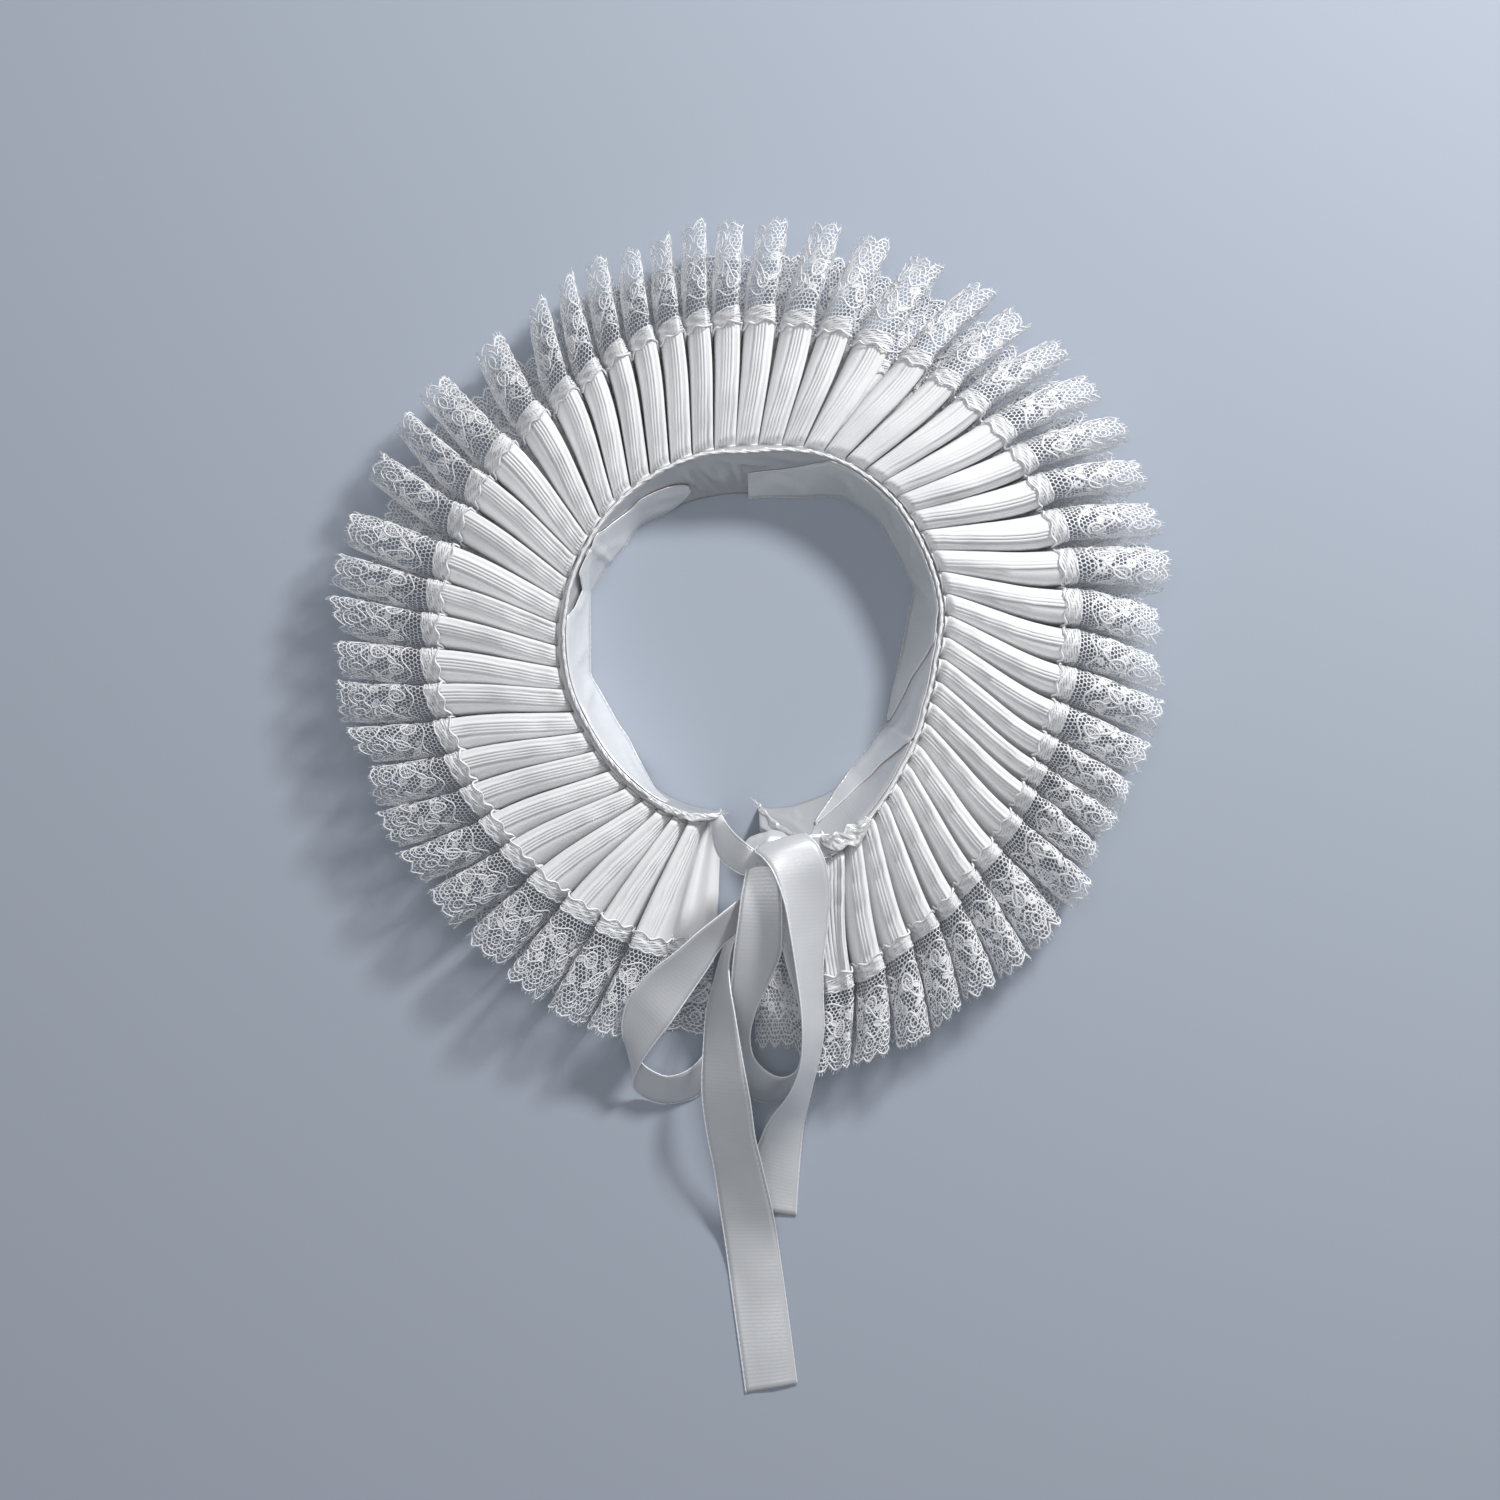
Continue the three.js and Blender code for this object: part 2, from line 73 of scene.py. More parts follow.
# foot, edge, tip: degrees of the crest at the band, at the end of the cloth
# and at the tip of the lace, clockwise from the front. cloth, reach: radii of
# those ends. high: the crest. lean: +1 clockwise, -1 the other way.
PLEATS = table("foot edge tip cloth reach high lean", [
    [17.0, 18.3, 20.4, 117.5, 149.0, 27, 0.6],
    [21.4, 25.0, 26.3, 117.0, 151.0, 28, 0.8],
    [26.0, 31.5, 33.0, 117.0, 149.0, 29, 0.8],
    [31.0, 39.2, 40.3, 117.0, 146.5, 30, 0.7],
    [36.4, 46.6, 49.0, 117.0, 148.0, 30, 0.8],
    [43.0, 53.5, 56.5, 116.5, 145.5, 30, 0.6],
    [51.0, 59.6, 62.5, 117.0, 147.0, 30, 0.8],
    [58.0, 65.9, 69.2, 117.0, 147.5, 31, 0.7],
    [64.3, 72.8, 75.2, 117.5, 143.0, 29, 0.5],
    [71.8, 79.0, 81.8, 118.5, 150.5, 30, 0.8],
    [78.5, 85.3, 87.8, 118.5, 148.0, 30, 0.6],
    [85.0, 92.0, 93.6, 118.5, 148.0, 31, 0.7],
    [91.5, 97.6, 100.0, 118.0, 153.5, 30, 0.8],
    [98.2, 103.9, 105.4, 118.0, 150.0, 30, 0.6],
    [105.5, 112.0, 115.0, 117.5, 151.5, 31, 0.7],
    [111.5, 118.7, 122.2, 117.5, 148.0, 30, 0.8],
    [118.8, 125.5, 128.0, 117.0, 149.0, 30, 0.7],
    [125.6, 134.5, 138.0, 116.0, 144.0, 31, 0.6],
    [131.6, 142.3, 147.5, 116.0, 142.0, 30, 0.7],
    [138.0, 148.6, 152.8, 116.0, 144.0, 29, 0.5],
    [144.5, 154.2, 157.5, 118.0, 148.0, 30, 0.6],
    [151.0, 159.5, 162.6, 119.0, 148.0, 30, 0.7],
    [158.0, 165.0, 167.0, 119.5, 147.0, 30, 0.7],
    [165.0, 169.8, 171.8, 120.0, 150.0, 31, 0.7],
    [171.2, 174.9, 177.0, 120.5, 152.5, 30, 0.75],
    [177.6, 180.6, 182.4, 121.0, 150.0, 30, 0.7],
    [184.2, 187.6, 190.2, 121.0, 152.5, 30, 0.75],
    [191.0, 194.5, 196.8, 121.0, 152.5, 31, 0.7],
    [196.6, 201.0, 204.3, 121.0, 151.0, 29, 0.7],
    [202.5, 209.6, 213.0, 121.0, 151.5, 31, 0.6],
    [209.0, 216.0, 218.8, 121.0, 152.5, 30, 0.5],
    [215.4, 222.2, 226.0, 121.0, 151.0, 30, 0.4],
    [221.0, 229.0, 232.8, 121.0, 154.0, 30, 0.25],
    [227.0, 235.8, 239.8, 121.0, 152.5, 31, 0.1],
    [233.0, 242.0, 246.6, 120.5, 153.5, 30, -0.1],
    [239.0, 249.3, 252.8, 120.0, 151.0, 30, -0.1],
    [245.5, 256.8, 260.3, 119.5, 153.5, 30, -0.2],
    [252.2, 264.2, 268.4, 118.5, 146.5, 30, -0.3],
    [258.4, 271.3, 274.3, 117.0, 144.5, 29, -0.4],
    [264.6, 278.2, 280.8, 116.0, 148.5, 30, -0.5],
    [271.2, 285.0, 287.0, 115.0, 147.5, 30, -0.6],
    [278.2, 290.9, 293.2, 114.5, 144.5, 30, -0.7],
    [285.0, 295.6, 297.6, 114.5, 145.5, 30, -0.7],
    [291.8, 300.6, 302.4, 115.0, 143.0, 31, -0.7],
    [298.2, 307.0, 307.2, 116.0, 150.5, 30, -0.8],
    [305.0, 313.4, 316.0, 116.5, 149.0, 30, -0.7],
    [311.5, 319.0, 321.2, 118.0, 150.0, 30, -0.8],
    [317.3, 324.2, 327.2, 120.5, 150.0, 30, -0.7],
    [322.8, 329.6, 332.6, 121.5, 149.0, 29, -0.8],
    [328.2, 335.4, 338.0, 124.0, 154.5, 28, -0.8],
    [333.4, 341.0, 344.6, 127.5, 154.5, 27, -0.8],
    [338.4, 346.0, 349.6, 129.0, 156.5, 25, -0.8],
])
COUNT = len(PLEATS["foot"])

# The flat ends of the strip: degrees at the band, cloth end and lace tip.
LEFT_END = (10.2, 6.8, 6.6)
RIGHT_END = (355.5, 359.2, 359.6)

# The band: radius of its upper and lower edge, and height of the upper one.
BAND = table("at top low high", [
    [10.6, 62.0, 61.5, 24.5],
    [13, 62.8, 62.2, 26.0],
    [20, 65.0, 62.8, 26.5],
    [30, 65.6, 63.2, 26.5],
    [45, 65.4, 61.6, 26.5],
    [60, 65.3, 59.0, 26.5],
    [80, 66.7, 60.8, 26.5],
    [100, 67.4, 62.0, 26.5],
    [108, 67.8, 63.2, 26.5],
    [120, 68.2, 60.8, 26.5],
    [140, 69.0, 60.4, 26.5],
    [150, 69.2, 58.0, 26.5],
    [165, 69.4, 56.6, 26.5],
    [180, 69.6, 55.6, 26.5],
    [190, 70.4, 56.6, 26.5],
    [200, 71.8, 58.6, 26.5],
    [211, 72.2, 64.0, 26.5],
    [225, 71.8, 65.4, 26.5],
    [240, 70.0, 63.8, 26.5],
    [250, 69.2, 64.2, 26.5],
    [260, 68.4, 60.4, 26.5],
    [275, 65.4, 57.4, 26.5],
    [290, 65.4, 57.4, 26.5],
    [300, 67.4, 57.8, 26.5],
    [310, 69.2, 58.6, 26.5],
    [320, 72.6, 60.4, 26.5],
    [330, 76.2, 60.4, 26.5],
    [335, 78.8, 60.4, 26.5],
    [340, 80.6, 60.2, 26.0],
    [346, 74.5, 60.4, 20.5],
    [352, 69.8, 60.2, 15.0],
    [357.6, 67.2, 58.9, 12.0],
])

# The ribbon inside the band shows in five plies, which lap where it turns
# over: name, the degrees between which it lies under another ply, painted
# lightness (the same satin made lighter for painted light or darker for painted shade), and heights of its
# two edges.
NECK_PLIES = (
    ("left_back", (95, 119), 1.2, [
        [103, 0.4, 8], [108, 0.4, 12], [113, 0.4, 18], [117, 0.4, 23.5], [120.6, 0.4, 25.4],
        [123, 0.4, 25.2], [126, 0.4, 24], [131.7, 0.4, 19.7], [137.8, 0.4, 16.8], [142.5, 0.4, 18.2],
        [148.9, 0.8, 17.2], [153, 2.8, 15.8], [156, 5.2, 14], [158.4, 8.6, 11.4]]),
    ("left_front", (0, 0), 1.34, [
        [28, 19, 24.6], [31, 14, 24.6], [36, 7, 24.6], [42, 2.5, 24.6], [50, 0.5, 24.8],
        [62, 0.4, 25.0], [75, 0.4, 25.2], [90, 0.4, 25.4], [97, 0.4, 25.2], [100, 0.4, 22.5],
        [103, 0.4, 19], [106, 0.4, 16], [108, 1.0, 14.6], [109.5, 5.0, 19.0], [111.5, 9.5, 24.0],
        [113.5, 14, 25.3], [115.5, 17.6, 25.5], [118, 22, 25.6], [120, 24.8, 25.6]]),
    ("right_turn", (295, 350), 0.96, [
        [301.6, 0.4, 25.4], [310, 0.4, 25.4], [322, 0.5, 25.4], [326.8, 3.2, 25.4],
        [333.3, 6.4, 25.4], [338, 10.4, 25.0], [340.9, 13.4, 24.2], [343, 17.4, 23.4],
        [344.8, 20.8, 22.6]]),
    ("right_front", (255, 300), 1.14, [
        [264, 0.4, 23], [270, 0.4, 25.2], [280, 0.4, 25.4], [290, 0.4, 25.4], [299, 0.4, 25.4],
        [301.5, 0.4, 25.0], [304.2, 0.4, 22.3], [308, 0.4, 18.4], [312, 0.4, 14.9], [317, 0.4, 12],
        [322, 0.5, 9.9], [326.8, 3.0, 10.4], [333.3, 6.2, 11.0], [338, 9.8, 11.8],
        [340.4, 12.0, 12.8]]),
    ("right_back", (0, 0), 1.12, [
        [178.5, 0.4, 13.2], [181, 0.4, 13.6], [184, 0.4, 14], [187.8, 0.4, 14.8], [192, 0.4, 16.4],
        [196.3, 0.4, 18.8], [200, 0.4, 22], [204, 0.4, 24.8], [209, 0.4, 25.4], [225, 0.4, 25.4],
        [245, 0.4, 25.4], [262, 0.4, 25.4], [267, 0.4, 25.2], [270, 0.4, 24.2], [273.6, 0.4, 21.2],
        [280, 0.4, 13.9], [283.8, 0.4, 10.6], [290.2, 0.4, 7.2], [295.6, 0.4, 4.2], [299, 0.4, 1.6]]),
)

LAP = 0.65      # from one ply to the next, and from the band to the first

# Corners of the neckline, as the ribbon's lower edge runs straight between
# them: degrees and radius.
NECKLINE = np.array([
    (10.4, 61.3), (32.7, 62.3), (58.6, 56.4), (79.3, 59.9), (108.3, 62.4), (137.9, 60.0),
    (152.1, 57.0), (164.4, 55.7), (211.5, 63.6), (224.6, 65.4), (250.4, 62.9),
    (299.7, 56.6), (321.7, 57.9), (346.3, 60.4), (359.0, 60.6)])

# Creases in the satin, each a soft ridge along a line: degrees and height of
# its two ends, how far it stands inward, and its half width.
RIBBON_FOLDS = [
    [36, 22, 52, 8, 0.7, 1.8],
    [60, 22, 69, 24, 1.1, 1.2],
    [68, 24, 78, 2, 0.9, 1.8],
    [82, 17, 92, 2, 1.1, 1.1],
    [84, 9, 90, 1, 0.8, 1.0],
    [97, 23, 107, 8, 1.0, 1.6],
    [118, 20, 130, 3, 0.7, 1.8],
    [139, 7, 152, 2.5, 1.2, 1.4],
    [146, 14, 156, 8, 0.5, 2.0],
    [186, 12, 200, 3, 0.6, 2.6],
    [203, 20, 215, 12, 0.7, 1.5],
    [210, 17, 218, 1, 1.1, 1.6],
    [222, 24, 232, 14, 1.0, 2.0],
    [236, 24, 242, 12, 0.8, 1.8],
    [246, 2, 256, 22, 1.1, 1.8],
    [276, 24, 290, 12, 0.9, 2.2],
    [286, 20, 312, 3, 1.0, 2.4],
    [304, 6, 320, 2, 0.8, 1.4],
]
BAND_FOLDS = [
    [14, 20, 26, 8, 0.7, 1.6],
    [98, 24, 108, 16, 1.0, 1.5],
    [124, 25.5, 138, 20, 1.2, 1.6],
    [130, 25.5, 146, 21, 0.9, 1.2],
    [158, 23, 161, 13, 2.4, 1.6],
    [161, 13, 165, 2, 2.2, 1.5],
    [165, 22, 169, 8, 1.9, 1.6],
    [170, 15, 173, 2, 1.8, 1.6],
    [174, 24, 177.5, 4, 2.4, 1.8],
    [168, 25, 184, 18, 1.6, 1.3],
    [184, 25, 198, 20, 1.1, 1.4],
    [300, 25, 316, 19, 0.9, 1.6],
    [314, 24, 328, 15, 1.1, 1.8],
    [326, 22, 340, 8, 1.3, 2.2],
    [334, 18, 346, 6, 1.2, 1.8],
    [341, 20, 349, 9, 1.3, 1.4],
    [330, 8, 346, 2, 1.2, 1.8],
    [346, 12, 355, 4, 1.0, 1.6],
]

# Ribbon of the bow, row by row away from the knot: x, y and z of its left edge
# and then of its right one, from the middle of the neck.
TAIL_LONG = [
    [-0.8, -79.9, 25.5, 5.0, -79.9, 26.5],
    [-4.6, -92.0, 20.0, 0.8, -93.0, 24.0],
    [-8.6, -104.0, 13.4, -5.6, -105.0, 20.0],
    [-11.8, -114.0, 12.6, -8.2, -113.5, 22.0],
    [-14.0, -123.0, 13.0, -8.0, -122.0, 26.4],
    [-16.4, -133.0, 14.5, -6.1, -133.0, 29.2],
    [-17.6, -145.0, 17.8, -3.9, -145.5, 31.0],
    [-18.0, -156.0, 19.5, -2.0, -156.0, 30.8],
    [-17.6, -165.0, 18.8, -0.5, -165.0, 28.0],
    [-16.0, -177.0, 15.5, 1.0, -177.0, 22.5],
    [-14.0, -187.5, 12.0, 3.3, -187.0, 17.5],
    [-12.0, -203.0, 6.5, 6.8, -203.0, 8.5],
    [-9.9, -217.0, 2.0, 9.2, -217.0, 2.5],
    [-7.3, -236.5, 0.5, 12.0, -236.0, 0.5],
    [-4.0, -260.0, 0.5, 15.0, -258.5, 0.5],
    [-2.2, -273.5, 0.5, 16.5, -270.0, 0.5],
]
TAIL_SHORT = [
    [2.2, -72.2, 33.6, 18.4, -67.6, 32.6],
    [1.0, -74.0, 35.6, 20.6, -69.2, 34.9],
    [3.8, -76.2, 37.4, 23.6, -72.6, 36.0],
    [7.6, -81.4, 39.4, 26.3, -80.0, 35.2],
    [11.4, -91.6, 40.4, 27.4, -91.0, 31.6],
    [13.7, -103.8, 40.4, 26.6, -103.0, 28.8],
    [15.6, -116.1, 39.6, 25.5, -114.8, 27.6],
    [17.2, -128.4, 38.6, 25.6, -128.0, 26.0],
    [17.8, -139.3, 37.0, 25.6, -139.5, 24.4],
    [17.3, -151.2, 33.0, 23.8, -151.0, 20.5],
    [13.9, -160.3, 28.0, 21.2, -162.0, 14.5],
    [6.2, -171.4, 18.0, 18.6, -174.0, 5.0],
    [2.5, -180.5, 9.5, 17.6, -185.0, 1.2],
    [-0.7, -191.0, 3.5, 16.8, -196.5, 0.6],
    [-2.2, -206.0, 0.5, 16.1, -208.5, 0.5],
]
LOOP_LEFT = [
    [-0.6, -84.0, 27.2, 1.6, -92.0, 22.5],
    [-3.9, -90.6, 27.4, -1.6, -100.5, 21.0],
    [-11.6, -97.1, 31.0, -6.4, -105.0, 21.0],
    [-19.3, -103.1, 33.0, -11.4, -109.6, 20.8],
    [-27.0, -109.8, 33.0, -16.2, -117.0, 20.8],
    [-35.5, -116.6, 32.0, -22.4, -126.0, 21.4],
    [-41.2, -123.2, 30.0, -28.8, -135.3, 22.0],
    [-44.6, -128.4, 27.6, -33.6, -141.7, 20.4],
    [-46.2, -133.8, 24.8, -38.7, -148.9, 17.6],
    [-46.8, -138.8, 21.8, -41.8, -154.2, 14.2],
    [-46.2, -142.8, 18.4, -43.4, -158.2, 10.4],
    [-44.0, -146.0, 15.4, -43.0, -161.2, 6.0],
    [-41.4, -149.6, 13.4, -41.0, -163.8, 2.2],
    [-38.2, -152.9, 13.2, -37.6, -166.0, 0.8],
    [-34.0, -155.2, 13.0, -34.0, -167.0, 0.8],
    [-29.8, -156.1, 13.0, -30.2, -167.3, 0.8],
    [-23.6, -154.1, 13.0, -23.8, -166.1, 0.8],
    [-18.1, -149.4, 12.0, -18.7, -163.4, 0.8],
    [-13.6, -141.0, 10.0, -11.5, -154.0, 0.8],
    [-10.6, -129.0, 8.0, -4.9, -138.0, 0.8],
    [-8.3, -115.0, 8.0, -2.4, -120.0, 2.0],
    [-5.4, -101.5, 9.0, -0.4, -104.5, 6.0],
    [-2.4, -89.5, 13.0, 3.0, -90.5, 11.0],
]
LOOP_RIGHT = [
    [-1.6, -79.0, 30.8, 9.4, -77.6, 31.6],
    [-3.6, -90.0, 30.4, 10.4, -90.0, 31.0],
    [-5.0, -100.5, 29.2, 10.6, -101.5, 29.6],
    [-6.5, -112.0, 26.4, 10.0, -111.5, 27.5],
    [-7.4, -123.0, 22.0, 5.4, -122.7, 24.4],
    [-8.0, -135.0, 16.0, 1.3, -132.0, 21.4],
    [-7.6, -148.0, 9.0, -0.8, -141.0, 18.5],
    [-5.6, -158.0, 2.5, 0.4, -148.5, 17.5],
    [-1.6, -164.5, 0.8, 4.4, -153.2, 16.5],
    [4.8, -167.3, 0.8, 9.6, -156.0, 16.5],
    [12.0, -165.4, 0.8, 14.4, -155.2, 16.5],
    [18.6, -158.5, 3.0, 17.2, -151.2, 17.0],
    [21.6, -147.0, 8.0, 18.0, -142.0, 18.5],
    [22.4, -133.0, 13.0, 17.0, -131.0, 21.0],
    [21.2, -116.0, 18.0, 13.2, -118.0, 23.5],
    [18.2, -100.0, 22.0, 9.2, -102.5, 26.0],
    [14.2, -88.5, 24.0, 5.4, -90.0, 27.5],
    [11.2, -82.5, 26.0, 3.2, -83.2, 28.6],
]
TIE_LEFT = [
    [-11.2, -61.0, 24.4, -14.8, -63.4, 23.4],
    [-9.2, -64.6, 25.6, -14.3, -69.0, 22.0],
    [-6.4, -68.0, 29.2, -12.0, -75.4, 23.2],
    [-3.4, -70.6, 32.0, -8.0, -79.8, 26.6],
    [-0.6, -72.8, 33.0, -2.9, -82.6, 29.4],
    [2.6, -75.0, 32.4, 1.6, -82.4, 29.8],
]
TIE_RIGHT = [
    [30.0, -68.8, 25.4, 28.4, -76.4, 25.0],
    [24.8, -68.4, 26.6, 23.4, -77.0, 25.6],
    [20.2, -68.8, 28.0, 18.8, -77.2, 26.4],
    [15.0, -70.2, 29.0, 14.2, -77.0, 27.5],
]

# Section of one pleat, in shares of its pitch and height: leaning clockwise,
# upright, and leaning the other way.
SECTION_CW = np.array([
    (-.50, 0), (-.41, .015), (-.36, .15), (-.43, .40), (-.37, .615),
    (-.18, .785), (.08, .895), (.38, .965), (.56, .985), (.575, .86),
    (.45, .45), (.37, .10), (.42, .01), (.50, 0)])
SECTION_UP = np.array([
    (-.50, 0), (-.42, .015), (-.36, .20), (-.42, .50), (-.485, .70),
    (-.40, .88), (-.15, .975), (.15, 1.0), (.40, .93), (.50, .76),
    (.43, .48), (.37, .18), (.42, .015), (.50, 0)])
SECTION_CCW = np.array([
    (-.50, 0), (-.42, .01), (-.37, .10), (-.45, .47), (-.595, .84),
    (-.585, .965), (-.43, 1.0), (-.27, .965), (.04, .87), (.16, .70),
    (.38, .50), (.33, .18), (.40, .015), (.50, 0)])
# The last pleat on the right lies flat, with its tucks upward.
SECTION_LAST = np.array([
    (-.50, 0), (-.42, .01), (-.37, .10), (-.44, .47), (-.52, .84),
    (-.49, .965), (-.37, 1.0), (-.24, .93), (-.10, .88), (.16, .85),
    (.40, .80), (.43, .35), (.44, .015), (.50, 0)])
# How much higher each of those points stands in the lace, which opens out,
# on the pleats that lean the other way.
LACE_OPENS = np.array([0, 0, 0, 0, 0, 0, 0, 0, .01, .08, .20, .10, 0, 0])


# ---- shared helpers ------------------------------------------------------
ABOVE_TABLE = 0.02               # the lowest that any cloth lies
CLOTH_UV = "cloth_mm"            # millimetres over the flat cloth


def step_up(x):
    """A smooth step from 0 to 1."""
    x = np.clip(x, 0, 1)
    return x * x * (3 - 2 * x)


def between(at, start, stop, soft):
    """1 between two places, falling smoothly to 0 at both."""
    return step_up((at - start) / soft) * step_up((stop - at) / soft)


def lattice(x, y, seed):
    """Smooth noise between -1 and 1, the same on each run."""
    def corner(i, j):
        value = np.sin(i * 127.1 + j * 311.7 + seed * 74.7) * 43758.5453
        return 2 * (value - np.floor(value)) - 1

    i, j = np.floor(x), np.floor(y)
    a, b = step_up(x - i), step_up(y - j)
    top = corner(i, j) * (1 - a) + corner(i + 1, j) * a
    low = corner(i, j + 1) * (1 - a) + corner(i + 1, j + 1) * a
    return top * (1 - b) + low * b


def unit(vectors):
    """The same directions, each one long."""
    return vectors / np.maximum(np.linalg.norm(vectors, axis=-1, keepdims=True), 1e-9)


def left_of(ways):
    """Flat directions turned a quarter to the left."""
    return np.stack([-ways[..., 1], ways[..., 0]], -1)


def smooth_line(points, per):
    """Catmull-Rom through points (n, k), per samples to each span."""
    p = np.asarray(points, float)
    padded = np.vstack([2 * p[0] - p[1], p, 2 * p[-1] - p[-2]])
    t = np.linspace(0, 1, per, endpoint=False)[:, None]
    out = []
    for a, b, c, d in zip(padded, padded[1:], padded[2:], padded[3:]):
        out.append(0.5 * (2 * b + (c - a) * t + (2 * a - 5 * b + 4 * c - d) * t ** 2
                          + (3 * b - a - 3 * c + d) * t ** 3))
    return np.vstack(out + [p[-1:]])


def arc_length(line):
    """Distance along a line at each of its points."""
    steps = np.linalg.norm(np.diff(line, axis=0), axis=1)
    return np.concatenate([[0.0], np.cumsum(steps)])


def resample(line, at):
    """Points of a line at the given distances along it."""
    run = arc_length(line)
    return np.stack([np.interp(at, run, line[:, k]) for k in range(line.shape[1])], 1)


def place(degrees, radius, z):
    """Millimetres from an angle and radius about the neck."""
    a = np.radians(degrees)
    return np.stack([-radius * np.sin(a), -radius * np.cos(a), z], -1)


def normals_of(grid):
    """Unit normals of a grid (rows, columns, 3)."""
    return unit(np.cross(np.gradient(grid, axis=1), np.gradient(grid, axis=0)))


def mesh_object(name, points, faces, uv=None, smooth=True):
    """An object from points in millimetres about the neck; faces is a list of
    index arrays, each (n, 3) or (n, 4)."""
    mesh = bpy.data.meshes.new(name)
    points = (np.asarray(points, float) + NECK) * MM
    mesh.vertices.add(len(points))
    mesh.vertices.foreach_set("co", points.astype(np.float32).ravel())
    loops = np.concatenate([f.ravel() for f in faces])
    sizes = np.concatenate([np.full(len(f), f.shape[1]) for f in faces])
    mesh.loops.add(len(loops))
    mesh.loops.foreach_set("vertex_index", loops.astype(np.int32))
    mesh.polygons.add(len(sizes))
    starts = np.concatenate([[0], np.cumsum(sizes)[:-1]])
    mesh.polygons.foreach_set("loop_start", starts.astype(np.int32))
    if uv is not None:
        layer = mesh.uv_layers.new(name=CLOTH_UV)
        layer.data.foreach_set("uv", np.asarray(uv, np.float32)[loops].ravel())
    mesh.update(calc_edges=True)
    mesh.validate()
    if smooth:
        mesh.shade_smooth()
    else:
        mesh.shade_flat()
    piece = bpy.data.objects.new(name, mesh)
    bpy.context.scene.collection.objects.link(piece)
    return piece


def grid_faces(rows, cols, start=0, flip=False):
    """Four-sided faces over a grid of points that starts at an index."""
    i, j = np.meshgrid(np.arange(rows - 1), np.arange(cols - 1), indexing="ij")
    a = (start + i * cols + j).ravel()
    quads = np.stack([a, a + 1, a + cols + 1, a + cols], 1)
    return quads[:, ::-1] if flip else quads


def shell(name, grid, thick, uv):
    """A closed thin sheet on a grid (rows, columns, 3); thick in millimetres."""
    rows, cols, _ = grid.shape
    n = normals_of(grid)
    over, under = grid + n * thick / 2, grid - n * thick / 2
    under[..., 2] = np.maximum(under[..., 2], ABOVE_TABLE)
    points = np.vstack([over.reshape(-1, 3), under.reshape(-1, 3)])
    ring = np.concatenate([
        np.arange(cols), np.arange(1, rows) * cols + cols - 1,
        (rows - 1) * cols + np.arange(cols - 2, -1, -1), np.arange(rows - 2, 0, -1) * cols])
    after = np.roll(ring, -1)
    rim = np.stack([after, ring, ring + rows * cols, after + rows * cols], 1)
    faces = [grid_faces(rows, cols), grid_faces(rows, cols, rows * cols, True), rim]
    return mesh_object(name, points, faces, np.vstack([uv.reshape(-1, 2)] * 2))


def tube(line, radius, sides):
    """Points and faces of a closed tube; its radius may vary along it."""
    count = len(line)
    along = unit(np.gradient(line, axis=0))
    side = np.cross(along, [0.0, 0.0, 1.0])
    upright = np.linalg.norm(side, axis=1) < 1e-3
    side[upright] = np.cross(along[upright], [1.0, 0.0, 0.0])
    side = unit(side)
    up = np.cross(side, along)
    turn = np.linspace(0, 2 * math.pi, sides, endpoint=False)[:, None]
    ring = side[:, None] * np.cos(turn) + up[:, None] * np.sin(turn)
    points = line[:, None] + ring * np.broadcast_to(radius, count)[:, None, None]
    i, j = np.meshgrid(np.arange(count - 1), np.arange(sides), indexing="ij")
    a, b = (i * sides + j).ravel(), (i * sides + (j + 1) % sides).ravel()
    faces = [np.stack([a, b, b + sides, a + sides], 1)]
    for cap in (np.arange(sides)[::-1], (count - 1) * sides + np.arange(sides)):
        faces.append(np.stack([np.full(sides - 2, cap[0]), cap[1:-1], cap[2:]], 1))
    return points.reshape(-1, 3), faces


def tubes_object(name, lines, radii, sides=6):
    """Several tubes as one object."""
    points, faces, base = [], [], 0
    for line, radius in zip(lines, radii):
        tube_points, tube_faces = tube(line, radius, sides)
        points.append(tube_points)
        faces += [f + base for f in tube_faces]
        base += len(tube_points)
    return mesh_object(name, np.vstack(points), faces)


def band_high(degrees):
    """Height of the band's upper edge."""
    return np.interp(degrees, BAND["at"], BAND["high"])


def band_at(degrees, z):
    """Radius of the band's wall at a height."""
    low = np.interp(degrees, BAND["at"], BAND["low"])
    top = np.interp(degrees, BAND["at"], BAND["top"])
    return low + (top - low) * np.clip(z / band_high(degrees), 0, 1)


# ---- the pleated strip ---------------------------------------------------
# A station says how far out along the strip: 0 at the band, 1 at the end of
# the cloth and 2 at the tip of the lace.
MEAN_RADII = (67, 118, 148)      # at those three stations
FLOOR = 0.35           # middle of the cloth where it lies on the table
FOOT_HIGH = 26.0       # a crest beside the band
RUFF_HIGH = 30.0       # a crest at the end of the cloth, about
FULL_HIGH = 0.4        # the station from which a crest is level
CLOTH_DEEP = 50.0      # the flat cloth, from the band to its end
CLOTH_STATIONS = (0, .02, .045, .075, .12, .2, .3, .4, .52, .64, .76, .86, .93, 1.0)
SWIRL = 0.917          # how much more of its turn a pleat makes near the band
UPRIGHT = -0.15        # a pleat that leans less than this the other way stands
SPAN = 12              # points worked out for each span of a section
CREST_EDGE = 8 * SPAN + 2           # the crest's edge among them, as it leans
CREST_EDGE_OTHER = 5 * SPAN - 2     # clockwise or stands, and the other way
WIDEST = 9.6           # degrees of a pleat at the band; past this the floor shows
NARROWER = 3.0         # how much less that is at the end of the cloth
VALLEY_HIGH = 0.45     # share of the crest at which valleys start, beside the band
SEAM_WIDE = 2.2        # from the band's wall to the inner end of the strip
FLAT_FROM = 349        # degrees where the flat right end starts,
FLAT_SHORTER = 16      # and how much shorter its cloth is
COLUMNS = 60           # of the mesh, across one pleat
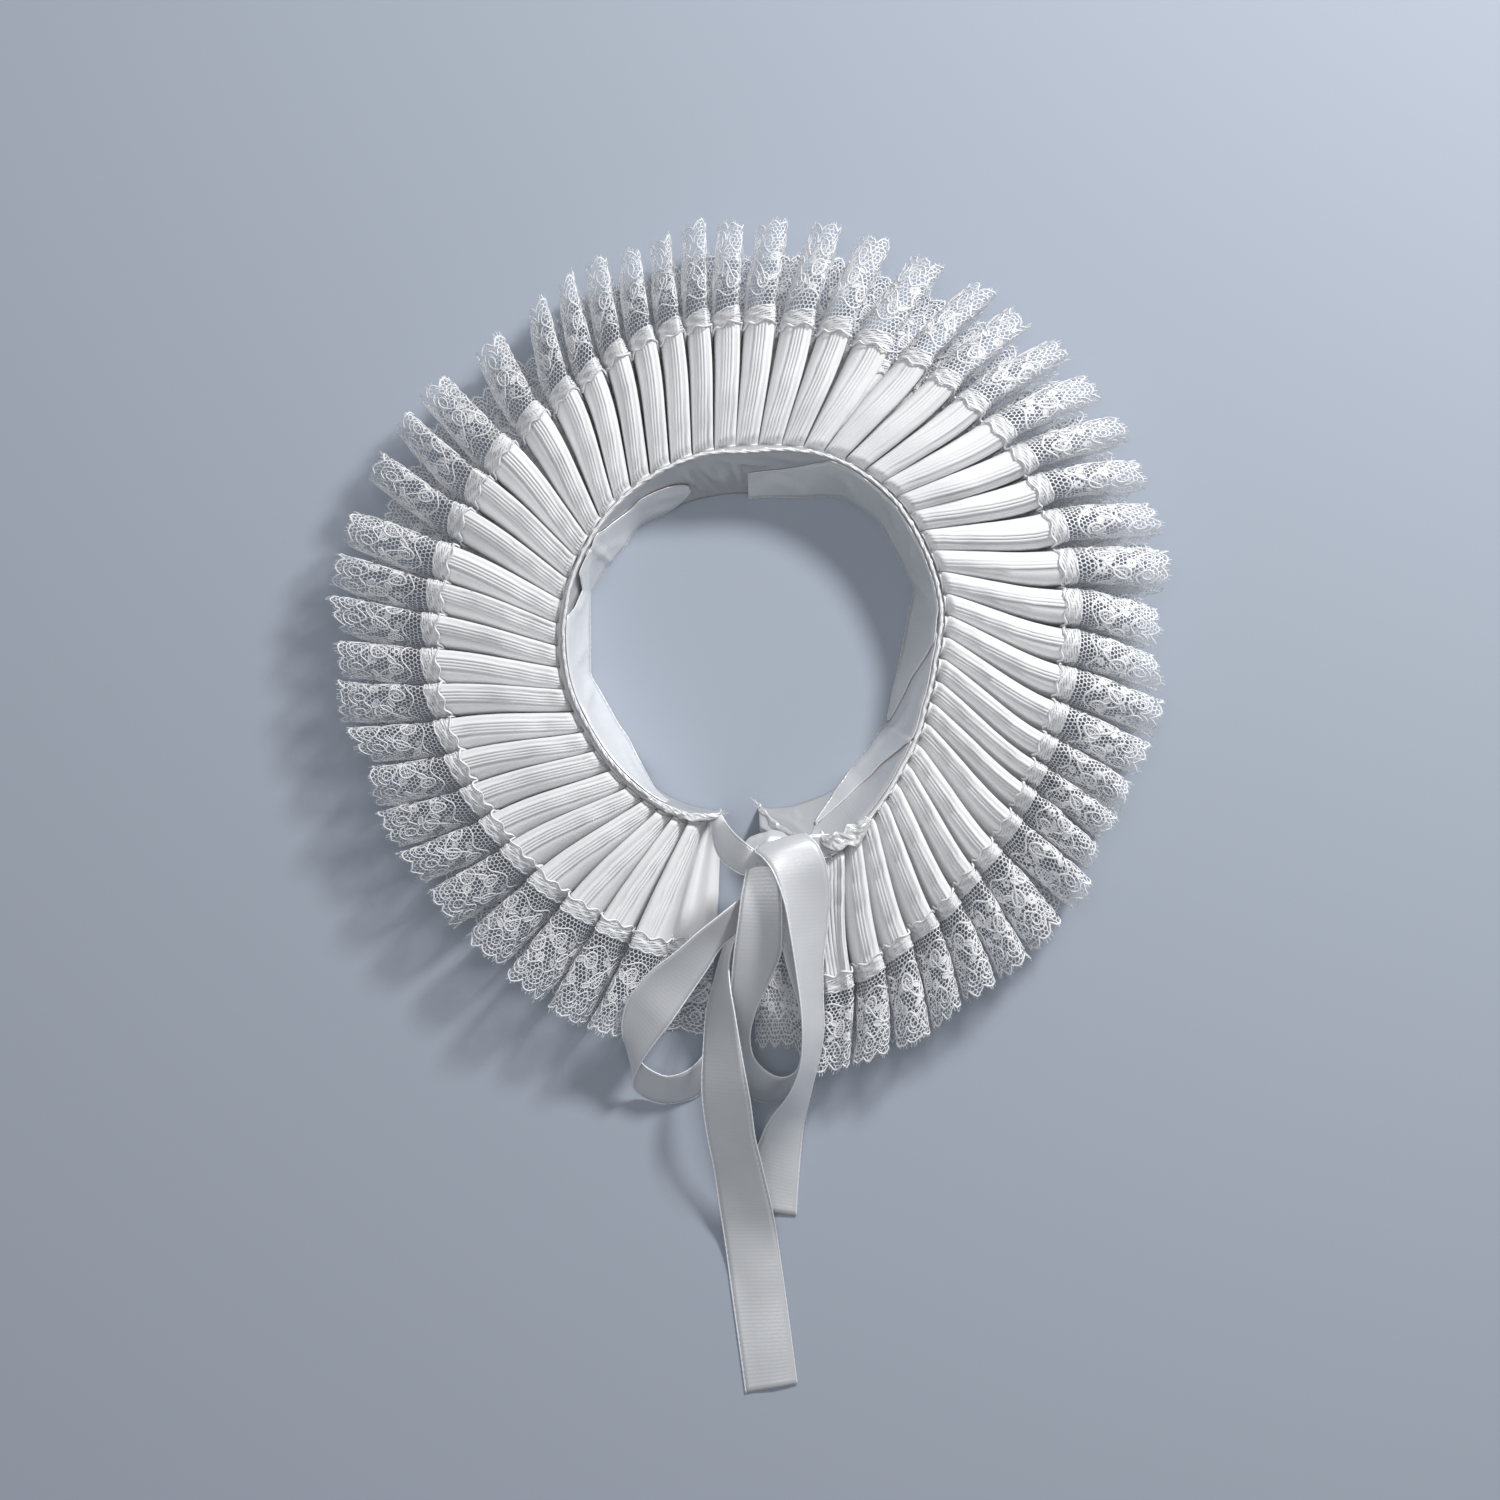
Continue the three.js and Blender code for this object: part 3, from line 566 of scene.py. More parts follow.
END_PLEATS = 3         # the first pleats on the left, with fewer tucks
LEFT_SHARES = np.linspace(0, 1, 15)[:-1]      # columns over the flat left end
RIGHT_SHARES = np.linspace(0, 1, 9)[1:]       # and over the right one
# How much narrower a pleat is, by degrees: at the end of the cloth, and
# once more at the lace's tip.
CLOTH_GATHER = ((0, 95, 108, 170, 186, 240, 262, 360),
                (0.03, 0.05, 0.15, 0.14, 0.22, 0.20, 0.08, 0.05))
LACE_GATHER = ((0, 95, 108, 170, 186, 240, 262, 360),
               (0.10, 0.12, 0.30, 0.26, 0.22, 0.22, 0.14, 0.10))
# A pin tuck: from one to the next, its depth, and its section in shares.
TUCK_STEP = 1.25
TUCK_DEEP = 0.9
TUCK_AT = np.array([0.0, 0.14, 0.5, 0.86])
TUCK_GROOVE = np.array([-1.0, -0.1, 0.0, -0.1])


def run_of(foot, edge, tip, s):
    """Degrees of a crest, or of a flat end, at a station."""
    if s <= 1:
        return foot + (edge - foot) * (s + SWIRL * s * (1 - s))
    return edge + (tip - edge) * (s - 1)


def crest_run(k, s):
    """Degrees of one pleat's crest at a station."""
    return run_of(PLEATS["foot"][k], PLEATS["edge"][k], PLEATS["tip"][k], s)


def tuck_in(degrees):
    """How much farther in the strip's lower edge ends, most at the back left."""
    return 3.5 + 3.5 * np.cos(np.radians(degrees - 150))


def strip_radius(degrees, s, z):
    """Radius of the strip at a station and height."""
    down = 1 - np.clip(z / RUFF_HIGH, 0, 1)
    end = np.interp(degrees, PLEATS["edge"], PLEATS["cloth"]) - tuck_in(degrees) * down
    end = end - FLAT_SHORTER * step_up((degrees - FLAT_FROM) / 4)
    if s <= 1:
        foot = band_at(degrees, z) + SEAM_WIDE
        return foot + (end - foot) * s
    # The lace: only its lower half draws in, and it is shorter at both ends.
    low = np.clip(1 - z / 14, 0, 1)
    tip = np.interp(degrees, PLEATS["edge"], PLEATS["reach"])
    tip = tip - (1 + tuck_in(degrees) * 1.2) * low
    tip = tip - 8.5 * step_up((degrees - 351) / 4) - 4 * step_up((17 - degrees) / 6)
    end = end + tuck_in(degrees) * (down - low)
    return end + (tip - end) * (s - 1)


def on_strip(degrees, s, z):
    """Points of the strip at a station."""
    return place(degrees, strip_radius(degrees, s, z), z)


def section_shape(k, lean, s):
    """One pleat's section in shares, by its lean."""
    if k == COUNT - 1:
        return SECTION_LAST
    leaning = SECTION_CW if lean > 0 else SECTION_CCW
    shape = SECTION_UP + (leaning - SECTION_UP) * min(abs(lean) / 0.8, 1)
    if lean < UPRIGHT:
        shape[:, 1] += LACE_OPENS * step_up((s - 0.9) / 0.3)
    return shape


def crest_height(k, s):
    """Height of one pleat's crest at a station."""
    crest = PLEATS["high"][k]
    if s < FULL_HIGH:
        crest = FOOT_HIGH + (crest - FOOT_HIGH) * s / FULL_HIGH
        crest *= min(1, 0.62 + 9 * s)      # the inner end of each pleat is rounded off
    if s > 1:
        crest -= 3.5 * (s - 1) * (1 + 0.6 * math.sin(k * 2.4))      # the lace sags unevenly
    return crest


def section(k, s):
    """One pleat's section at a station: a fine line of (millimetres from the
    crest, z), the distance along it, that distance at the crest's edge, the
    crest's degrees, and millimetres to a degree."""
    centre = run_of(PLEATS["foot"], PLEATS["edge"], PLEATS["tip"], s)
    scale = math.radians(1) * np.interp(s, (0, 1, 2), MEAN_RADII)
    here = centre[k]
    before = here - centre[k - 1] if k else centre[1] - centre[0]
    after = centre[k + 1] - here if k < COUNT - 1 else before
    lean = PLEATS["lean"][k]
    if s > 1:
        lean = lean * (1 - 0.35 * (s - 1))      # it stands up again in the lace
    shares, high = section_shape(k, lean, s).T
    pitch = np.where(shares < 0, before, after)
    inner = np.abs(shares) < 0.495              # all but the bottom of the valleys
    pitch = np.where(inner, np.minimum(pitch, WIDEST - NARROWER * min(s, 1)), pitch)
    closer = np.interp(here, *CLOTH_GATHER) * min(s, 1) ** 2 \
        + np.interp(here, *LACE_GATHER) * max(s - 1, 0)
    x = shares * pitch * (1 - closer * np.clip(high * 4, 0, 1))
    shallow = VALLEY_HIGH * max(1 - s, 0)
    z = FLOOR + (high * (1 - shallow) + shallow) * (crest_height(k, s) - FLOOR)
    fine = smooth_line(np.stack([x * scale, z], 1), SPAN)
    fine[:, 1] = np.maximum(fine[:, 1], FLOOR)
    run = arc_length(fine)
    crest = run[CREST_EDGE if lean > UPRIGHT else CREST_EDGE_OTHER]
    return fine, run, crest, here, scale


def left_end(s):
    """The strip's flat left end at a station, with two soft folds."""
    start = run_of(*LEFT_END, s)
    step = crest_run(1, s) - crest_run(0, s)
    at = start + (crest_run(0, s) - step / 2 - start) * LEFT_SHARES
    fold = np.exp(-((LEFT_SHARES - 0.34) / 0.25) ** 2) \
        + 0.35 * np.exp(-((LEFT_SHARES - 0.86) / 0.09) ** 2)
    fade = 1 if s < 1 else 1.8 - 0.8 * s
    z = FLOOR + 2.5 * (1 - LEFT_SHARES) ** 4 + 3.0 * fold * min(1, 0.5 + s) * fade
    return on_strip(at, s, z)


def right_end(s):
    """The strip's flat right end at a station."""
    last = crest_run(-1, s)
    step = last - crest_run(-2, s)
    at = last + step / 2 + (run_of(*RIGHT_END, s) - last - step / 2) * RIGHT_SHARES
    return on_strip(at, s, np.full(len(at), FLOOR))


def strip_grid(stations, columns):
    """Points of the pleated strip at each station, and distances along it;
    columns(run, crest, k, s) gives the distances along a pleat's section at
    which points stand, and how far each is pushed outward."""
    rows, lengths = [], []
    for s in stations:
        row, along, base = [], [], 0.0
        for k in range(COUNT):
            fine, run, crest, here, scale = section(k, s)
            at, push = columns(run, crest, k, s)
            p = resample(fine, at)
            p = p + unit(left_of(np.gradient(p, axis=0))) * push[:, None]
            stop = None if k == COUNT - 1 else -1      # the next pleat starts there
            row.append(on_strip(here + p[:, 0] / scale, s, p[:, 1])[:stop])
            along.append((base + at)[:stop])
            base += run[-1]
        left, right = left_end(s), right_end(s)
        left_long = np.linalg.norm(row[0][0] - left[0])
        right_long = np.linalg.norm(right[-1] - row[-1][-1])
        rows.append(np.vstack([left] + row + [right]))
        lengths.append(np.concatenate([
            left_long * LEFT_SHARES, left_long + np.concatenate(along),
            left_long + base + right_long * RIGHT_SHARES]))
    return np.array(rows), np.array(lengths)


def tucks_of(k):
    """How many pin tucks show beside a crest, and how far from it they start."""
    lean = PLEATS["lean"][k]
    if k == COUNT - 1:
        return 8, 1.0
    if k < END_PLEATS:
        return 3, 3.8
    return (4 if lean > 0.3 else 3), (2.1 if lean > UPRIGHT else 3.1)


def tuck_depth(k, s, side):
    """Depth of one pleat's tucks at a station."""
    fade = np.clip(s / 0.08, 0.5, 1) * np.clip((1.03 - s) / 0.1, 0.25, 1)
    if side > 0 and k < COUNT - 1:
        fade *= 0.5 + 0.6 * step_up(s)
    fade *= 1 - 0.45 * between(PLEATS["foot"][k], 185, 280, 20)     # pressed flatter there
    return TUCK_DEEP * (0.9 + 0.15 * math.sin(k * 1.7)) * fade


def ruffle_columns(run, crest, k, s):
    """Fine columns over the pin tucks beside the crest, coarse elsewhere."""
    side = -1 if PLEATS["lean"][k] > UPRIGHT else 1
    tucks, start = tucks_of(k)
    a, b = sorted((crest + side * start, crest + side * (start + tucks * TUCK_STEP)))
    fine = a + TUCK_STEP * (np.arange(tucks)[:, None] + TUCK_AT).ravel()
    fine = np.append(fine, b)
    low = np.linspace(0, a, int((COLUMNS - len(fine)) * a / (a + run[-1] - b)) + 2)[:-1]
    high = np.linspace(b, run[-1], COLUMNS - len(fine) - len(low) + 1)[1:]
    at = np.concatenate([low, fine, high])
    push = 0.16 * lattice(at * 0.07 + k * 9.1, s * 2.0 + k, 3)      # small unevenness
    grooves = np.append(np.tile(TUCK_GROOVE, tucks), -1.0)
    push[len(low):len(low) + len(fine)] += grooves * tuck_depth(k, s, side)
    return at, push


# ---- materials -----------------------------------------------------------
CLOTH_WEAVE = (0.34, 0.42)       # from thread to thread, both ways
SATIN_WEAVE = (0.22, 1.4)        # fine one way, long floats the other


def nodes_of(name):
    """A new material, its node tree and its shader."""
    material = bpy.data.materials.new(name)
    material.use_nodes = True
    tree = material.node_tree
    return material, tree, tree.nodes["Principled BSDF"]


def set_inputs(node, values):
    """Sets a node's own sockets by name."""
    for socket, value in values.items():
        node.inputs[socket].default_value = value


def add(tree, kind, values=None, **settings):
    """A new node, with its sockets' values and its settings."""
    node = tree.nodes.new(kind)
    set_inputs(node, values or {})
    for key, value in settings.items():
        setattr(node, key, value)
    return node


def add_bump(tree, shader, height, strength, distance):
    """Bump from a height, onto the shader."""
    bump = add(tree, "ShaderNodeBump", {"Strength": strength, "Distance": distance})
    tree.links.new(height, bump.inputs["Height"])
    tree.links.new(bump.outputs["Normal"], shader.inputs["Normal"])


def thread_bump(tree, shader, weave, strength):
    """A woven grain of crossing threads; weave is in millimetres, both ways."""
    uv = add(tree, "ShaderNodeUVMap", uv_map=CLOTH_UV)
    split = add(tree, "ShaderNodeSeparateXYZ")
    tree.links.new(uv.outputs["UV"], split.inputs[0])
    grain = add(tree, "ShaderNodeMath", operation="ADD")
    for k, (axis, gap) in enumerate(zip("XY", weave)):
        scale = add(tree, "ShaderNodeMath", {1: 2 * math.pi / gap}, operation="MULTIPLY")
        tree.links.new(split.outputs[axis], scale.inputs[0])
        sine = add(tree, "ShaderNodeMath", operation="SINE")
        tree.links.new(scale.outputs[0], sine.inputs[0])
        tree.links.new(sine.outputs[0], grain.inputs[k])
    add_bump(tree, shader, grain.outputs[0], strength, 0.0001)


def tint(tree, shader, color, tones, scale, rough):
    """Slow changes of tone and gloss over the cloth: tones and rough are the
    shares of the colour and the roughness between which it changes."""
    where = add(tree, "ShaderNodeTexCoord")
    noise = add(tree, "ShaderNodeTexNoise", {"Scale": scale, "Detail": 3.0})
    tree.links.new(where.outputs["Object"], noise.inputs["Vector"])
    ramp = add(tree, "ShaderNodeValToRGB")
    for stop, tone, position in zip(ramp.color_ramp.elements, tones, (0.3, 0.7)):
        stop.color = (*scaled(color, tone), 1)
        stop.position = position
    tree.links.new(noise.outputs["Fac"], ramp.inputs["Fac"])
    tree.links.new(ramp.outputs["Color"], shader.inputs["Base Color"])
    level = add(tree, "ShaderNodeMapRange", {"To Min": rough[0], "To Max": rough[1]})
    tree.links.new(noise.outputs["Fac"], level.inputs["Value"])
    tree.links.new(level.outputs["Result"], shader.inputs["Roughness"])


def scaled(color, k):
    """A colour made darker or lighter."""
    return tuple(min(c * k, 1.0) for c in color)


def cloth_material(sizes):
    """Crisp plain weave."""
    material, tree, shader = nodes_of("pleated_cloth")
    tint(tree, shader, sizes.cloth_color, (0.97, 1.01), 60, (0.78, 0.9))
    set_inputs(shader, {"Sheen Weight": 0.25, "Sheen Roughness": 0.5, "Specular IOR Level": 0.25})
    thread_bump(tree, shader, CLOTH_WEAVE, 0.2)
    return material


def lace_material(sizes):
    """Soft fine thread."""
    material, tree, shader = nodes_of("lace_thread")
    tint(tree, shader, sizes.lace_color, (0.95, 1.0), 180, (0.7, 0.85))
    set_inputs(shader, {"Sheen Weight": 0.2, "Specular IOR Level": 0.3})
    return material


def thread_material(sizes):
    """Cotton cord: a fine slanting twist along it."""
    material, tree, shader = nodes_of("seam_thread")
    tint(tree, shader, sizes.lace_color, (0.93, 1.02), 220, (0.6, 0.8))
    set_inputs(shader, {"Sheen Weight": 0.2})
    where = add(tree, "ShaderNodeTexCoord")
    twist = add(tree, "ShaderNodeTexWave", {"Scale": 700.0, "Distortion": 2.0},
                wave_type="BANDS", bands_direction="DIAGONAL")
    tree.links.new(where.outputs["Object"], twist.inputs["Vector"])
    add_bump(tree, shader, twist.outputs["Fac"], 0.4, 0.0002)
    return material


def satin_material(name, color, rough):
    """Satin: a soft gloss along the long floats of its weave."""
    material, tree, shader = nodes_of(name)
    tint(tree, shader, color, (0.95, 1.02), 35, (rough - 0.05, rough + 0.07))
    set_inputs(shader, {"Sheen Weight": 0.15, "Sheen Roughness": 0.3, "Specular IOR Level": 0.55,
                        "Anisotropic": 0.5, "Metallic": 0.3})
    thread_bump(tree, shader, SATIN_WEAVE, 0.12)
    return material


# ---- the ruff ------------------------------------------------------------
def dress(piece, node, material):
    """Gives a piece its material, and its place in the frame."""
    piece.data.materials.append(material)
    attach(piece, "root")
    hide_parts(node)
    return piece


def dress_sheet(piece, node, material):
    """Dresses a piece of cloth."""
    dress(piece, node, material)


def make_pleat_ends(material):
    """The turned edge over the inner end of each pleat."""
    s, count = 0.03, 16      # the station where it stands, and points along it
    lines = []
    for k in range(COUNT):
        fine, _, _, here, scale = section(k, s)
        high = np.flatnonzero(fine[:, 1] > 0.55 * fine[:, 1].max())
        part = fine[high[0]:high[-1] + 1]
        part = resample(part, np.linspace(0, arc_length(part)[-1], count))
        degrees, z = here + part[:, 0] / scale, part[:, 1]
        lines.append(place(degrees, strip_radius(degrees, s, z) - 0.45, z + 0.35))
    radius = 0.18 + 0.32 * np.sin(np.linspace(0.15, math.pi - 0.15, count))
    piece = tubes_object("ruffle_pleat_ends", lines, [radius] * COUNT)
    return dress(piece, "ruffle", material)


def make_ruffle(sizes):
    """The pleated cloth with its pin tucks, as one thin sheet."""
    grid, lengths = strip_grid(CLOTH_STATIONS, ruffle_columns)
    widths = np.array(CLOTH_STATIONS)[:, None] * CLOTH_DEEP
    uv = np.stack([lengths, np.broadcast_to(widths, lengths.shape)], 2)
    material = cloth_material(sizes)
    ends = make_pleat_ends(thread_material(sizes))
    piece = shell("ruffle_cloth", grid, sizes.cloth_thick / MM, uv)
    dress_sheet(piece, "ruffle", material)


# ---- the stage -----------------------------------------------------------
# Metres. Lights and camera are placed from the middle of the neck: where each
# light stands, where it points, its width, and its watts.
LIGHTS = (
    ("key", (0.62, 0.76, 0.76), (0, -0.03, 0), 0.215, 13.9),
    ("top", (-0.2, 0.3, 2.6), (0, 0, 0), 1.6, 15),
)
SKY_COLOR = (0.9, 0.94, 1.0, 1)
SKY_STRENGTH = 0.24
FLOOR_SIDE = 6
CAMERA_AT = (-0.0007, -0.0382, 1.1)
CAMERA_LENS = 72.13          # millimetres, over a sensor of CAMERA_SENSOR
CAMERA_SENSOR = 36


def add_light(name, stand, aim, size, watts):
    """A round soft light."""
    data = bpy.data.lights.new(name, "AREA")
    data.shape = "DISK"
    data.size = size
    data.energy = watts
    lamp = bpy.data.objects.new(name, data)
    lamp.location = stand
    lamp.rotation_euler = Vector(aim - stand).to_track_quat("-Z", "Y").to_euler()
    bpy.context.scene.collection.objects.link(lamp)


def add_stage(sizes):
    """Floor, light and camera."""
    bpy.ops.mesh.primitive_plane_add(size=FLOOR_SIDE, location=(0, 0, 0))
    floor = bpy.context.object
    floor.name = "floor"
    material, _, shader = nodes_of("pale_floor")
    set_inputs(shader, {"Base Color": (*sizes.floor_color, 1), "Roughness": 0.9})
    floor.data.materials.append(material)

    scene = bpy.context.scene
    scene.world = bpy.data.worlds.new("studio")
    scene.world.use_nodes = True
    sky = scene.world.node_tree.nodes["Background"]
    set_inputs(sky, {"Color": SKY_COLOR, "Strength": SKY_STRENGTH})
    scene.view_settings.view_transform = "Standard"

    middle = NECK * MM
    for name, stand, aim, size, watts in LIGHTS:
        add_light(name, middle + stand, middle + aim, size, watts)

    camera_data = bpy.data.cameras.new("overhead")
    camera_data.sensor_width = CAMERA_SENSOR
    camera_data.lens = CAMERA_LENS
    camera = bpy.data.objects.new("overhead", camera_data)
    camera.location = middle + CAMERA_AT
    scene.collection.objects.link(camera)
    scene.camera = camera


# ---- lace ----------------------------------------------------------------
HEADING = 7.0         # the lace's plain head, sewn over the end of the cloth
HEAD_LINES = 9        # its rows of thread,
HEAD_STEP = 0.68      # and from one to the next
LACE_DEEP = 31.0      # from the end of the cloth to the lace's edge
LACE_FLOOR = 0.15     # the lowest that its threads lie
HEAD_SHARE = 0.14     # how much of a station the head takes
HEAD_ROWS = 5         # of the lace's surface over the cloth,
FREE_ROWS = 13        # and beyond it
LACE_COLUMNS = 64     # across one pleat
NET = 1.6             # one mesh of the net, across its flats
NET_START = -1.6      # the net runs out from under the head
NET_SHAKE = 0.26      # how unevenly its corners lie
THREAD = 0.26         # width of a thread of the net
CORD = 0.52           # and of a cord
PETAL_LONG = 1.9      # half a leaf, and from a flower's middle to its petals
NET_HEFT = 1.35       # on the right the lace lies closer, so its threads are
CORD_HEFT = 1.38      # this much heavier
SOLID_BELOW = 1.2     # a petal whose half is shorter has no cord round it
REPEAT = 25.2         # the pattern's repeat along the strip
SCALLOP = REPEAT / 4
PICOT_STEP = 1.15     # from one picot of the edge to the next

# One repeat of the pattern, along it and outward from the end of the cloth.
# Waving cords: middle, depth, waves in a repeat, and phase in radians.
VINES = ((20.6, 1.3, 4, 0.0), (5.2, 1.5, 2, 0.6), (12.6, 3.6, 2, -1.4))
# Arcs under each scallop: middle, half width and depth, and how far round.
SCALES = ((24.2, SCALLOP * 0.46, 3.4, 180), (23.6, SCALLOP * 0.26, 2.2, 360))
# Netted ovals: place, half length, half width and degrees.
OVALS = ((3.4, 14.6, 3.1, 2.3, 75), (9.8, 9.2, 2.9, 2.2, 105), (16.0, 15.2, 3.2, 2.4, 95),
         (22.4, 9.4, 3.0, 2.2, 80))
# Leaves: place and degrees. Flowers: place and size.
LEAVES = ((6.6, 17.6, 30), (0.4, 9.8, 120), (13.0, 10.4, 60), (19.4, 17.8, 150),
          (19.2, 12.0, 35), (6.4, 11.8, 140))
FLOWERS = ((12.6, 18.0, 0.62), (25.0, 17.8, 0.62), (16.2, 8.6, 0.5), (3.2, 7.8, 0.5))


def lace_columns(run, crest, k, s):
    """Columns evenly along each pleat's section, with no push."""
    return np.linspace(0, run[-1], LACE_COLUMNS + 1), np.zeros(LACE_COLUMNS + 1)


class LaceCloth:
    """The gathered lace as a surface: along the strip and outward from the
    end of the cloth, both in millimetres of the flat lace."""

    def __init__(self):
        head = np.linspace(1 - HEAD_SHARE, 1.0, HEAD_ROWS)
        stations = np.concatenate([head, np.linspace(1.08, 2.0, FREE_ROWS)])
        self.out = np.where(stations < 1, (stations - 1) / HEAD_SHARE * HEADING,
                            (stations - 1) * LACE_DEEP)
        grid, lengths = strip_grid(stations, lace_columns)
        self.along = lengths[HEAD_ROWS - 1]
        self.length = float(self.along[-1])
        u, v = np.meshgrid(self.along, self.out)
        over = np.clip(-v / 2.0, 0, 1) * 0.34 + 0.12
        free = np.clip(v / LACE_DEEP, 0, 1) ** 0.8
        flutter = 0.75 * lattice(u * 0.16, v * 0.10, 5) + 0.35 * lattice(u * 0.45, v * 0.22, 6)
        grid = grid + normals_of(grid) * (over + flutter * free)[..., None]
        grid[..., 2] = np.maximum(grid[..., 2], LACE_FLOOR)
        self.grid, self.normal = grid, normals_of(grid)

    def at(self, u, v, lift):
        """Points of the lace at (u, v), lifted off it along its normal."""
        rows, columns = len(self.out), len(self.along)
        i = np.minimum(np.interp(v, self.out, np.arange(rows)), rows - 1.001)
        j = np.minimum(np.interp(u, self.along, np.arange(columns)), columns - 1.001)
        i0, j0 = i.astype(int), j.astype(int)
        a, b = (i - i0)[..., None], (j - j0)[..., None]

        def mixed(g):
            return ((g[i0, j0] * (1 - a) + g[i0 + 1, j0] * a) * (1 - b)
                    + (g[i0, j0 + 1] * (1 - a) + g[i0 + 1, j0 + 1] * a) * b)

        head = np.clip(1 - np.abs(v + HEADING / 2) / (HEADING * 0.62), 0, 1)
        lift = lift + head * (0.16 + 0.12 * lattice(u * 0.5 + v * 0.25, v * 0.4, 7)
                              + 0.32 * lattice(u * 0.24, v * 1.25, 8))
        past = np.maximum(v - self.out[-1], 0)[..., None]
        outward = unit(self.grid[-1, j0] - self.grid[-2, j0])
        points = mixed(self.grid) + mixed(self.normal) * lift[..., None] + outward * past
        points[..., 2] = np.maximum(points[..., 2], LACE_FLOOR)
        return points


class Threads:
    """Gathers flat threads into one mesh."""

    def __init__(self, lace):
        self.lace = lace
        self.points = []
        self.quads = []
        self.count = 0

    def straight(self, a, b, width, lift=0.0):
        """Separate short threads from a to b, each (n, 2)."""
        if not len(a):
            return
        way = unit(b - a)
        side = left_of(way) * width / 2
        a, b = a - way * width * 0.3, b + way * width * 0.3
        corners = np.stack([a - side, b - side, b + side, a + side], 1)
        self.points.append(self.lace.at(corners[..., 0], corners[..., 1], lift).reshape(-1, 3))
        self.quads.append(self.count + np.arange(4 * len(a)).reshape(-1, 4))
        self.count += 4 * len(a)

    def cords(self, lines, width, lift=0.15, crown=0.18):
        """Raised cords along equally long lines (n, m, 2)."""
        side = left_of(unit(np.gradient(lines, axis=1))) * width / 2
        n, m, _ = lines.shape
        uv = np.stack([lines - side, lines, lines + side], 2)
        high = np.array([lift, lift + crown, lift])
        self.points.append(self.lace.at(uv[..., 0], uv[..., 1], high).reshape(-1, 3))
        k, i, j = np.meshgrid(np.arange(n), np.arange(m - 1), np.arange(2), indexing="ij")
        a = self.count + (k * m + i) * 3 + j
        self.quads.append(np.stack([a + 3, a + 4, a + 1, a], -1).reshape(-1, 4))
        self.count += n * m * 3


def shaken(points, by, scale, seed):
    """Points of the flat lace, each moved a little."""
    u, v = points[..., 0] * scale, points[..., 1] * scale
    return points + by * np.stack([lattice(u, v, seed), lattice(u, v, seed + 1)], -1)


def edge_of_lace(u):
    """How far out the scalloped edge reaches."""
    ragged = 0.7 * lattice(u * 0.31, 0, 9) + 0.5 * lattice(u * 0.83, 0, 10)
    return LACE_DEEP - 2.7 + ragged + 2.3 * np.abs(np.sin(math.pi * u / SCALLOP)) ** 0.75


def add_net(threads, start, end, width):
    """The hexagonal net, from the head out to the scalloped edge."""
    side, step = NET / math.sqrt(3), NET / 2
    m = np.arange(int(start / step), int(end / step) + 1)
    u = m * step
    for k in range(int((LACE_DEEP - NET_START) / (1.5 * side)) + 1):
        odd = (m + k) % 2 == 1
        v = NET_START + 1.5 * side * k + np.where(odd, -side / 4, side / 4)
        inside = v < edge_of_lace(u)
        points = shaken(np.stack([u, v], 1), NET_SHAKE, 0.7, 11)
        keep = inside[:-1] & inside[1:]
        threads.straight(points[:-1][keep], points[1:][keep], width)
        up = ~odd & inside & (v + side < edge_of_lace(u))
        high = shaken(np.stack([u[up], v[up] + side], 1), NET_SHAKE, 0.7, 11)
        threads.straight(points[up], high, width)


def arc(u, v, wide, deep, stop):
    """A line round a centre, from the right, through so many degrees."""
    t = np.radians(np.linspace(0, stop, 11))
    return np.stack([u + wide * np.cos(t), v + deep * np.sin(t)], 1)


def vine(middle, depth, waves, phase):
    """A waving line along one repeat."""
    t = np.linspace(0, REPEAT, 27)
    turn = 2 * math.pi * t / REPEAT
    return np.stack([t, middle + depth * np.sin(waves * turn + phase)], 1)


def petals():
    """Each petal and leaf: place, half length, half width and turn."""
    rows = [(u, v, PETAL_LONG, 0.85, math.radians(turn)) for u, v, turn in LEAVES]
    for u, v, size in FLOWERS:
        for k in range(5):
            turn = math.radians(90 + 72 * k)
            far = PETAL_LONG * size
            rows.append((u + far * math.cos(turn), v + far * math.sin(turn), 1.6 * size, 1.1 * size, turn))
    return rows


def turned(u, v, x, y, turn):
    """Points (x, y) of a shape that is turned and placed at (u, v)."""
    return np.stack([u + x * math.cos(turn) - y * math.sin(turn),
                     v + x * math.sin(turn) + y * math.cos(turn)], 1)


def petal_outline(u, v, long, wide, turn, count=11):
    """A line round a petal or oval, broader toward its tip."""
    t = np.linspace(0, 2 * math.pi, count)
    return turned(u, v, long * np.cos(t), wide * np.sin(t) * (1 + 0.15 * np.cos(t)), turn)


def petal_fill(u, v, long, wide, turn, step):
    """Close threads across a petal, as pairs of ends."""
    x = np.arange(-long + step, long - step / 2, step)
    half = wide * np.sqrt(np.clip(1 - (x / long) ** 2, 0, 1))
    return turned(u, v, x, -half, turn), turned(u, v, x, half, turn)


